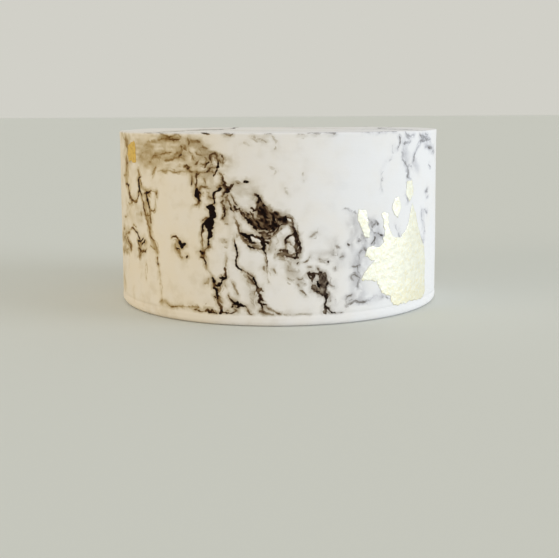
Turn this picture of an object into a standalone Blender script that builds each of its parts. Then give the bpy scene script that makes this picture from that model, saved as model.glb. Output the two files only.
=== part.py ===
"""Round marble cake, iced all over, with flakes of gold leaf pressed on to its side.

Units are metres and +Z is up. The origin is the centre of the flat underside, and the front
faces -Y. Places on the wall are given as (turn in degrees from the front, height in mm), where
a positive turn goes towards +X.
"""
import math

import bmesh
import bpy

MM = 0.001

# The cake
CAKE_RADIUS = 100 * MM
CAKE_HEIGHT = 106.5 * MM
RIM_ROUNDING = 0.6 * MM
FOOT_ROUNDING = 3.0 * MM
FOOT_BAND = 6.2 * MM
CREASE_DEPTH = 0.5 * MM
CREASE_HALF_WIDTH = 0.9 * MM
TOP_DIP = 0.6 * MM
TURN_STEPS = 120
ROUNDING_STEPS = 4

# How uneven the icing is: (waves in one turn, height of the wave, phase in radians)
RIM_WAVES = ((3, 0.14 * MM, 0.4), (7, 0.10 * MM, 2.1), (11, 0.07 * MM, 4.0))
WALL_WAVES = ((2, 0.10 * MM, 0.9), (6, 0.08 * MM, 2.6))
RIM_WAVE_REACH = 14 * MM

# The gold leaf, a thin skin just off the wall
LEAF_GAP = 0.35 * MM
LEAF_THICKNESS = 0.4 * MM
LEAF_STEP = 3.0
CUTTER_REACH = 30 * MM

# Each flake's outline on the wall: (turn, height)
LEAF_OUTLINES = {
    "gold_leaf_patch": (
        (51.2, 64.5), (53.4, 59.0), (55.2, 51.0), (57.4, 43.0), (60.4, 37.0), (61.6, 28.0),
        (60.8, 19.0), (61.6, 10.0), (60.0, 6.9), (50.0, 7.6), (41.2, 6.9), (39.6, 12.5),
        (35.6, 15.8), (33.6, 22.5), (30.8, 23.2), (27.6, 23.8), (29.0, 28.8), (31.2, 32.0),
        (32.6, 34.2), (30.6, 35.2), (28.8, 37.0), (29.6, 41.4), (33.4, 41.6), (36.4, 43.6),
        (37.0, 50.0), (35.4, 60.2), (38.4, 60.6), (38.8, 52.0), (41.0, 46.4), (45.0, 45.6),
        (47.6, 50.0), (49.4, 56.5)),
    "gold_leaf_slender": (
        (26.4, 64.0), (29.4, 62.6), (30.0, 55.0), (30.4, 47.2), (28.6, 48.4), (27.0, 54.0),
        (25.8, 59.0)),
    "gold_leaf_diamond": (
        (41.4, 68.4), (43.8, 68.8), (44.9, 63.0), (43.2, 57.0), (41.2, 59.4), (40.2, 63.4)),
    "gold_leaf_upper": (
        (47.8, 77.4), (50.6, 78.0), (51.8, 74.0), (51.9, 69.0), (49.2, 65.4), (47.5, 70.0)),
    "gold_leaf_left": (
        (-63.2, 97.8), (-60.0, 100.2), (-57.8, 101.2), (-56.6, 99.0), (-56.4, 88.6), (-58.4, 88.2),
        (-60.6, 89.6), (-62.6, 87.6), (-64.0, 92.6)),
}

ICING_COLOUR = (0.76, 0.73, 0.66, 1.0)
GOLD_COLOUR = (0.86, 0.68, 0.32, 1.0)


def clear_scene():
    for existing in list(bpy.data.objects):
        bpy.data.objects.remove(existing, do_unlink=True)


def new_collection(name):
    collection = bpy.data.collections.new(name)
    bpy.context.scene.collection.children.link(collection)
    return collection


def make_material(name, colour, roughness, metallic):
    material = bpy.data.materials.new(name)
    material.use_nodes = True
    shader = material.node_tree.nodes["Principled BSDF"]
    shader.inputs["Base Color"].default_value = colour
    shader.inputs["Roughness"].default_value = roughness
    shader.inputs["Metallic"].default_value = metallic
    material.diffuse_color = colour
    return material


def add_object(name, mesh, collection, material=None):
    made = bpy.data.objects.new(name, mesh)
    collection.objects.link(made)
    if material:
        mesh.materials.append(material)
    return made


def line_mesh(name, points):
    """A mesh of one open line through the points."""
    mesh = bpy.data.meshes.new(name)
    edges = [(i, i + 1) for i in range(len(points) - 1)]
    mesh.from_pydata(points, edges, [])
    return mesh


def add_screw(made, angle, steps):
    screw = made.modifiers.new("Turn", "SCREW")
    screw.angle = angle
    screw.steps = steps
    screw.render_steps = steps
    screw.use_merge_vertices = True
    screw.merge_threshold = 0.00001
    screw.use_smooth_shade = True


def evaluated_mesh(made):
    """The object's mesh with its modifiers applied."""
    graph = bpy.context.evaluated_depsgraph_get()
    graph.update()
    return bpy.data.meshes.new_from_object(made.evaluated_get(graph))


def arc(centre_x, centre_z, radius, start, end):
    """Points on a quarter turn in the XZ plane, from start to end in degrees."""
    points = []
    for step in range(ROUNDING_STEPS + 1):
        angle = math.radians(start + (end - start) * step / ROUNDING_STEPS)
        points.append((centre_x + radius * math.cos(angle), 0.0, centre_z + radius * math.sin(angle)))
    return points


def cake_profile():
    """The cake's outline from the middle of its top, down the wall, to the middle of its underside."""
    edge = CAKE_RADIUS - RIM_ROUNDING
    foot = CAKE_RADIUS - FOOT_ROUNDING
    profile = [(0.0, 0.0, CAKE_HEIGHT - TOP_DIP), (CAKE_RADIUS * 0.55, 0.0, CAKE_HEIGHT - TOP_DIP * 0.8)]
    profile += [(CAKE_RADIUS * 0.9, 0.0, CAKE_HEIGHT - TOP_DIP * 0.25)]
    profile += arc(edge, CAKE_HEIGHT - RIM_ROUNDING, RIM_ROUNDING, 90, 0)
    profile += [(CAKE_RADIUS, 0.0, CAKE_HEIGHT - RIM_WAVE_REACH), (CAKE_RADIUS, 0.0, CAKE_HEIGHT * 0.5)]
    profile += [(CAKE_RADIUS, 0.0, FOOT_BAND + CREASE_HALF_WIDTH)]
    profile += [(CAKE_RADIUS - CREASE_DEPTH, 0.0, FOOT_BAND)]
    profile += [(CAKE_RADIUS, 0.0, FOOT_BAND - CREASE_HALF_WIDTH)]
    profile += arc(foot, FOOT_ROUNDING, FOOT_ROUNDING, 0, -90)
    profile += [(0.0, 0.0, 0.0)]
    return profile


def wave(waves, turn):
    return sum(size * math.sin(count * turn + phase) for count, size, phase in waves)


def wave_limit(waves):
    return sum(size for count, size, phase in waves)


def roughen(mesh):
    """Makes the rim wavy and the wall a little out of round, never past the cake's stated size."""
    for vertex in mesh.vertices:
        x, y, z = vertex.co
        reach = math.hypot(x, y)
        if reach < CAKE_RADIUS * 0.01:
            continue
        turn = math.atan2(y, x)
        near_rim = max(0.0, (z - CAKE_HEIGHT + RIM_WAVE_REACH) / RIM_WAVE_REACH)
        near_wall = max(0.0, reach / CAKE_RADIUS * 2 - 1)
        drop = (wave_limit(RIM_WAVES) - wave(RIM_WAVES, turn)) * near_rim * near_wall
        narrow = (wave_limit(WALL_WAVES) - wave(WALL_WAVES, turn)) * reach / CAKE_RADIUS
        vertex.co.z = z - drop
        vertex.co.x = x * (1 - narrow / reach)
        vertex.co.y = y * (1 - narrow / reach)


def make_cake(collection, material):
    outline = add_object("cake_outline", line_mesh("cake_outline", cake_profile()), collection)
    add_screw(outline, math.tau, TURN_STEPS)
    mesh = evaluated_mesh(outline)
    bpy.data.objects.remove(outline, do_unlink=True)
    mesh.name = "iced_cake"
    roughen(mesh)
    mesh.shade_smooth()
    mesh.set_sharp_from_angle(angle=math.radians(35))
    return add_object("iced_cake", mesh, collection, material)


def outline_prism(name, outline, middle, collection):
    """The flake's outline as seen square on, pushed in and out through the wall."""
    curve = bpy.data.curves.new(name, "CURVE")
    curve.dimensions = "2D"
    curve.fill_mode = "BOTH"
    curve.extrude = CUTTER_REACH / 2
    spline = curve.splines.new("POLY")
    spline.points.add(len(outline) - 1)
    spline.use_cyclic_u = True
    for point, (turn, height) in zip(spline.points, outline):
        across = CAKE_RADIUS * math.sin(math.radians(turn - middle))
        point.co = (across, height * MM, 0.0, 1.0)
    flat = add_object(name, curve, collection)
    mesh = evaluated_mesh(flat)
    bpy.data.objects.remove(flat, do_unlink=True)
    weld = bmesh.new()
    weld.from_mesh(mesh)
    bmesh.ops.remove_doubles(weld, verts=weld.verts, dist=0.00001)
    bmesh.ops.recalc_face_normals(weld, faces=weld.faces)
    weld.to_mesh(mesh)
    weld.free()
    prism = add_object(name, mesh, collection)
    facing = math.radians(middle)
    prism.location = (CAKE_RADIUS * math.sin(facing), -CAKE_RADIUS * math.cos(facing), 0.0)
    prism.rotation_euler = (math.radians(90), 0.0, facing)
    prism.hide_render = True
    prism.display_type = "WIRE"
    return prism


def make_leaf(name, outline, collection, cutters, material):
    """A thin skin round the wall, cut to the flake's outline."""
    turns = [turn for turn, height in outline]
    heights = [height * MM for turn, height in outline]
    middle = (min(turns) + max(turns)) / 2
    spread = max(turns) - min(turns) + 2 * LEAF_STEP
    margin = 2 * MM
    radius = CAKE_RADIUS + LEAF_GAP
    upright = [(radius, 0.0, max(heights) + margin), (radius, 0.0, min(heights) - margin)]
    leaf = add_object(name, line_mesh(name, upright), collection, material)
    add_screw(leaf, math.radians(spread), math.ceil(spread / LEAF_STEP))
    thicken = leaf.modifiers.new("Thickness", "SOLIDIFY")
    thicken.thickness = LEAF_THICKNESS
    thicken.offset = 1.0
    cut = leaf.modifiers.new("Outline", "BOOLEAN")
    cut.operation = "INTERSECT"
    cut.object = outline_prism(name + "_outline", outline, middle, cutters)
    leaf.rotation_euler = (0.0, 0.0, math.radians(middle - 90 - spread / 2))
    return leaf


def main():
    clear_scene()
    parts = new_collection("marble_cake")
    cutters = new_collection("cutters")
    icing = make_material("icing", ICING_COLOUR, 0.45, 0.0)
    gold = make_material("gold_leaf", GOLD_COLOUR, 0.3, 1.0)
    make_cake(parts, icing)
    for name, outline in LEAF_OUTLINES.items():
        make_leaf(name, outline, parts, cutters, gold)


main()
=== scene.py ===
"""The looks of the round marble cake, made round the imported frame.

The icing is one mesh whose cells are small along the marbling and large where it is plain. Its
marbling is laid out on two flat sheets, one for the wall and one for the top, as brush lines,
blotches and smoke at chosen places. A place on the wall is (turn in degrees from the front,
height in mm) and a place on the top is (turn, distance from the middle in mm). A positive turn
goes towards +X, and the front faces -Y.
"""
import math
from collections import namedtuple
from functools import partial

import bpy
import numpy as np
from mathutils import Matrix, Vector
from mathutils.geometry import delaunay_2d_cdt


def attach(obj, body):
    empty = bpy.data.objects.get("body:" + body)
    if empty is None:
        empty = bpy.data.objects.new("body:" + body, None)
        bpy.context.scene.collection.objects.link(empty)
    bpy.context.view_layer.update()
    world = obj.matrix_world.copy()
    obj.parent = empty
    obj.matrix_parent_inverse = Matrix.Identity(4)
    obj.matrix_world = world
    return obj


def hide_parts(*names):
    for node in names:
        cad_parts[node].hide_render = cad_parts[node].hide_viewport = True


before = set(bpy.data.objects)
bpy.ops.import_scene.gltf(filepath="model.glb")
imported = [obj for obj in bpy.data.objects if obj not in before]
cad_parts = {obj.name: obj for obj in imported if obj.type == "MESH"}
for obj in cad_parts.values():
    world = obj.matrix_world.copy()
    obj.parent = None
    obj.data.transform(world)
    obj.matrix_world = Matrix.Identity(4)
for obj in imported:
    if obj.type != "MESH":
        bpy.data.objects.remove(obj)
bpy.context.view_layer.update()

MM = 0.001
TINY = 1e-9

# The cake, in mm
RADIUS = 100.0
HEIGHT = 106.5
RIM_ROUNDING = 0.6
FOOT_ROUNDING = 3.0
TOP_DIP = 0.6
TOP_DIP_BAND = (0.5, 0.97)
FOOT_BAND = 6.2
CREASE_DEPTH = 0.35
CREASE_WIDTH = 0.8
# How uneven the icing is: (waves in one turn, height of the wave, phase in radians)
RIM_WAVES = ((3, 0.14, 0.4), (7, 0.10, 2.1), (11, 0.07, 4.0))
WALL_WAVES = ((2, 0.10, 0.9), (6, 0.08, 2.6))
RIM_WAVE_REACH = 14.0
# The icing lies this deep under its full size, on average and at most. Its broad bumps and its long
# fine scrapes are (height, wavelength).
SUNK = 0.12
SUNK_MOST = 0.3
BUMPS = (0.05, 40.0)
SCRAPES = (0.015, 3.0)
SCRAPE_STRETCH = 14.0
# The heights and the reaches over which the bumps come and go
BUMPS_ABOVE_FOOT = (3, 9)
NO_BUMPS_AT_RIM = (HEIGHT - 7, HEIGHT - RIM_ROUNDING)
NO_BUMPS_AT_EDGE = (RADIUS - 8, RADIUS - RIM_ROUNDING)

# The icing's mesh. Its finest grid has these columns round the cake and these rows in each stretch
# of its outline, and its cells are up to LARGEST_CELL grid steps wide.
COLUMNS = 2048
TOP_ROWS, RIM_ROWS, WALL_ROWS, FOOT_ROWS, UNDER_ROWS = 308, 4, 328, 16, 48
INNER_RING = 4.0
LARGEST_CELL = 16
TOP_CELL, RIM_CELL, WALL_CELL, CREASE_CELL, FOOT_CELL, UNDER_CELL = 16, 2, 8, 4, 4, 16
# How much a cell's ink may vary before it is split, for each cell size, and how much the stain
# counts in that beside the ink
TOLERANCE = {16: 0.03, 8: 0.08, 4: 0.20, 2: 0.55}
WASH_SHARE = 0.3
INK_EDGE = (0.36, 0.64)
INK_GAIN = 1.3
INK_POWER = 1.3

# The flat sheets that the marbling is laid out on, in mm. TOP_MARGIN is how far the top's sheet
# reaches past the cake, and BELOW_FOOT how far the wall's does.
STEP = 0.3
BELOW_FOOT = 2.0
TOP_MARGIN = 3.0
# Each warp moves every place at random: (wavelength, how far)
WARPS = ((16.0, 0.12), (5.0, 0.20), (1.8, 0.18))
WARP_ROUGH = 2.4
EDGE_FADE = 2.0
PLAIN_DARK = 0.4
DARK_LIMITS = (0.1, 1.1)
PATH_SPACING = 0.9
FAR_AWAY = 99.0
# A read of a field that doesn't wrap round stays this many cells clear of its end
END_CELL = 1.001

# The noise that the marks are broken up with. Each mark reads the tile from a random place.
TILE = 1024
SHIFT_MOST = 300
FLATTEST_NOISE = 0.04

# A brush line's body: its width as a share of the width given, how rough its edge is, and how
# uneven its darkness. The noise for its other edge is read OTHER_SIDE further off.
LINE_WEIGHT = 0.9
LINE_ROUGHNESS = 0.34
LINE_ROUGHNESS_LIMITS = (0.35, 1.9)
OTHER_SIDE = 9
LINE_STREAKS = 0.10
LINE_LUMPS = 0.07
LINE_LUMP_SCALE = 0.6
# The stain round a mark, in full where dark * STAIN_FOR_DARK is 1 or more. HALO_FOR_WIDTH and
# STAIN_STREAKS, and below the pairs for a width or a darkness, are (a base, what is added to it
# for each unit of what it depends on).
STAIN = 0.48
STAIN_FOR_DARK = 2
HALO_REACH = 1.25
HALO_FOR_WIDTH = (0.6, 0.5)
STAIN_STREAKS = (0.65, 0.5)
STAIN_LIMITS = (0.1, 1.6)
# The thin threads that run beside a line, and the whiskers that leave it, up to FRINGE mm from
# it. A thread shows where its gate is open, which it reads from another row of the noise. A
# whisker's length and lean are drawn between two values.
FRINGE = 4.5
THREADS = 2
THREAD_OFFSET = 1.3
THREAD_SWING = 0.8
THREAD_ROW = 41.0
THREAD_GATE = 0.1
THREAD_GATE_ROW = 20
THREAD_WIDTH = (0.16, 0.14)
THREAD_WIDTH_MOST = 1.4
THREAD_DARK = (0.18, 0.34)
WHISKER_SPACING = 7.0
WHISKER_LENGTHS = (1.5, 6.0)
WHISKER_LEANS = (0.12, 0.6)
WHISKER_WIDTH = 0.34
WHISKER_DARK = (0.25, 0.45)
WIPE_EDGE = 0.3

# A blotch's streaks, lumps and ragged edge
BLOTCH_STREAK_SCALE = 1.6
BLOTCH_LUMPS = 0.6
BLOTCH_LUMP_SCALE = 0.45
BLOTCH_ROUGHNESS = 0.32

# Smoke's density: its mean, what its streaks and lumps add, and its most. Between the two hair
# densities it turns into hairlines.
SMOKE_MEAN = 0.5
SMOKE_STREAKS = 0.32
SMOKE_LUMPS = 0.30
SMOKE_MOST = 1.6
HAIR_DENSITIES = (0.28, 0.62)
HAIR_BREAKS = 0.12
HAIR_BREAK_SCALE = 0.5
HAIR_WIDTH = 0.42
HAIR_LEAST = 0.10
HAIR_DARK = (0.36, 0.12)
HAIR_DARK_LIMITS = (0.15, 0.8)

# Where the marbling ends: the heights over which it fades in above the foot, and how much of the
# stain stays below. The stain is never denser than WASH_MOST.
CLEAN_FOOT = (FOOT_BAND - 0.9, FOOT_BAND + 0.5)
FOOT_STAIN = 0.2
STAIN_OFF_FLOOR = (0.5, 3)
WASH_MOST = 1.4
# How far the wall's marbling runs on over the rim, where it fades, and how much of the soft stain
# the rim loses, which leaves a painted highlight line along the rim's edge
OVER_RIM = 14.0
OVER_RIM_FADE = (HEIGHT + 3, HEIGHT + OVER_RIM)
PAINTED_RIM_HIGHLIGHT = 0.5
PAINTED_RIM_HIGHLIGHT_BAND = (HEIGHT - 1.8, HEIGHT - 0.6)

# How beige the icing is and how warm its marbling, by turn in degrees from the front. Both are
# partly the icing's own cream tint and browner dye and partly painted warm light: they are
# strongest on the side of the warm fill lamp and fall to nothing under the cool key lamp.
HUE_TURNS = (-180, -130, -80, -38, -28, -20, -13, 0, 12, 26, 60, 110, 150, 180)
CREAM_TINT_AND_WARM_LIGHT = (0.62, 0.78, 0.98, 0.83, 0.8, 0.6, 0.4, 0.26, 0.17, 0.04, 0.0, 0.16, 0.42, 0.62)
DYE_WARMTH_AND_WARM_LIGHT = (0.7, 0.8, 0.93, 0.84, 0.76, 0.68, 0.57, 0.5, 0.36, 0.1, 0.0, 0.2, 0.5, 0.7)
# The share of both that the top loses, from just under the rim up, which takes most of the painted
# warm light off the top and pales the rim into a painted highlight line, and where on the top the
# two sides run into each other
PALE_TOP_AND_RIM_HIGHLIGHT = 0.6
PALE_TOP_AND_RIM_HIGHLIGHT_BAND = (HEIGHT - 1.4, HEIGHT - 0.6)
TOP_BLEND = (0.2, 0.9)

# The icing's material. A noise is (cells in a metre, detail).
WHITE_ICING = (0.91, 0.912, 0.945, 1)
# The cream colour that the icing turns towards, partly its own tint and partly painted warm light
CREAM_AND_WARM_LIT_ICING = (0.885, 0.775, 0.60, 1)
ICING_PATCHES = (60, 4)
ICING_SPECKS = (1300, 2)
ICING_CLOUDS = (110, 6)
ICING_RIPPLES = (260, 5, (1, 1, 3))
ICING_SHINE = 0.07
ICING_ROUGHNESS = 0.5
# What the patches and the specks add to the icing, to a mark's edge and to the stain
BEIGE_PATCHES = 0.5
ROUGHNESS_PATCHES = 0.25
EDGE_SPECKS = 0.14
STAIN_SPECKS = 0.2
# A bump is (strength, depth in metres)
ICING_BUMP = (0.25, 0.0002)
# The marbling darkens like a dye. Each is how fast red, green and blue fall away where it is thin
# and where it is deep. The first is used on the warm fill lamp's side and the second under the cool
# key lamp. Their browner and greyer tones are partly the dye's own and partly painted warm and cool
# light.
DYE_BROWN_AND_WARM_LIT = ((2.7, 3.5, 5.8), (2.45, 3.5, 6.4))
DYE_GREY_AND_COOL_LIT = ((3.3, 3.2, 2.6), (3.2, 3.25, 3.3))
DYE_DEEPEST = 2.0
DYE_DEEP_FROM = 0.2
DYE_STOPS = (0, 0.02, 0.05, 0.09, 0.14, 0.2, 0.28, 0.38, 0.5, 0.7, 1)
# How deep the dye is: in a mark, by its darkness and its darkness to a power; in the stain; and in
# the faint clouds that lie over the warm side
MARK_EDGE = (0.40, 0.62)
MARK_DEPTH = 0.42
MARK_DEPTH_BLACK = 1.75
MARK_POWER = 5.0
STAIN_DEPTH = 0.33
CLOUD_DEPTH = 0.042
CLOUD_RANGE = (0.48, 0.72)

# The gold leaf's mesh, in mm. The foil lies FLAKE_GAP off the wall.
FLAKE_GAP = 0.07
FLAKE_THICKNESS = 0.03
FLAKE_CELL = 0.7
FLAKE_JITTER = 0.18
FLAKE_CRINKLE = 0.13
CRINKLE_SPREAD = 0.3
TORN_STEP = 0.35
TORN_DEPTH = 0.7
WELD = 0.01
# Its colours are (plain, in its deeper patches), and its patches are deeper towards the foot. The
# same leaf has two lit looks: the pale one is painted washed out, a painted highlight where the key
# lamp falls, and the deep one is painted saturated, as the leaf looks in shade on the warm-lit left.
KEY_LIT_PALE_GOLD = ((0.97, 0.97, 0.86, 1), (0.955, 0.91, 0.70, 1))
KEY_LIT_PALE_GOLD_METAL = 0.35
SHADED_DEEP_GOLD = ((0.86, 0.56, 0.10, 1), (0.70, 0.42, 0.05, 1))
SHADED_DEEP_GOLD_METAL = 0.5
SHADED_DEEP_FLAKES = ("gold_leaf_left",)
GOLD_PATCHES = (620, 6)
GOLD_PATCH_RANGE = (0.48, 0.68)
GOLD_FOOT = (8 * MM, 24 * MM)
GOLD_FOOT_PATCHES = 0.14
GOLD_SHEEN = (300, 4)
GOLD_SHEEN_RANGE = (0.3, 0.7)
GOLD_ROUGHNESS = (0.34, 0.5)
GOLD_WRINKLES = (1500, 5)
GOLD_BUMP = (0.35, 0.0003)

# Floor, lights and camera, in metres
FLOOR_COLOUR = (0.74, 0.755, 0.72, 1)
FLOOR_SIZE = 40.0
FLOOR_ROUGHNESS = 0.9
FLOOR_SHINE = 0.1
WORLD_COLOUR = (0.638, 0.631, 0.578, 1)
# (turn, elevation, how wide the light is in degrees, strength, colour)
LIGHTS = {
    "key": (75, 9, 38, 1.71, (0.855, 0.92, 1.0)),
    "fill": (-60, 9, 38, 0.73, (1.0, 0.845, 0.71)),
}
CAMERA_PLACE = (0, -0.6175, 0.1178)
CAMERA_PITCH = math.radians(6.64)
CAMERA_ROLL = math.radians(-0.33)
CAMERA_LENS = 61.97
CAMERA_SENSOR = 36
CAMERA_SHIFT = (0.0018, -0.10)

# Seeds. The swell's is counted on from its sheet's, and each group on the wall has GROUP_SEEDS
# for its marks.
WALL_SEED = 100
TOP_SEED = 500
SWELL_SEED = 22
GROUP_SEEDS = 1000
TOP_MARKS_SEED = 50000
FLAKE_SEED = 900

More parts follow.
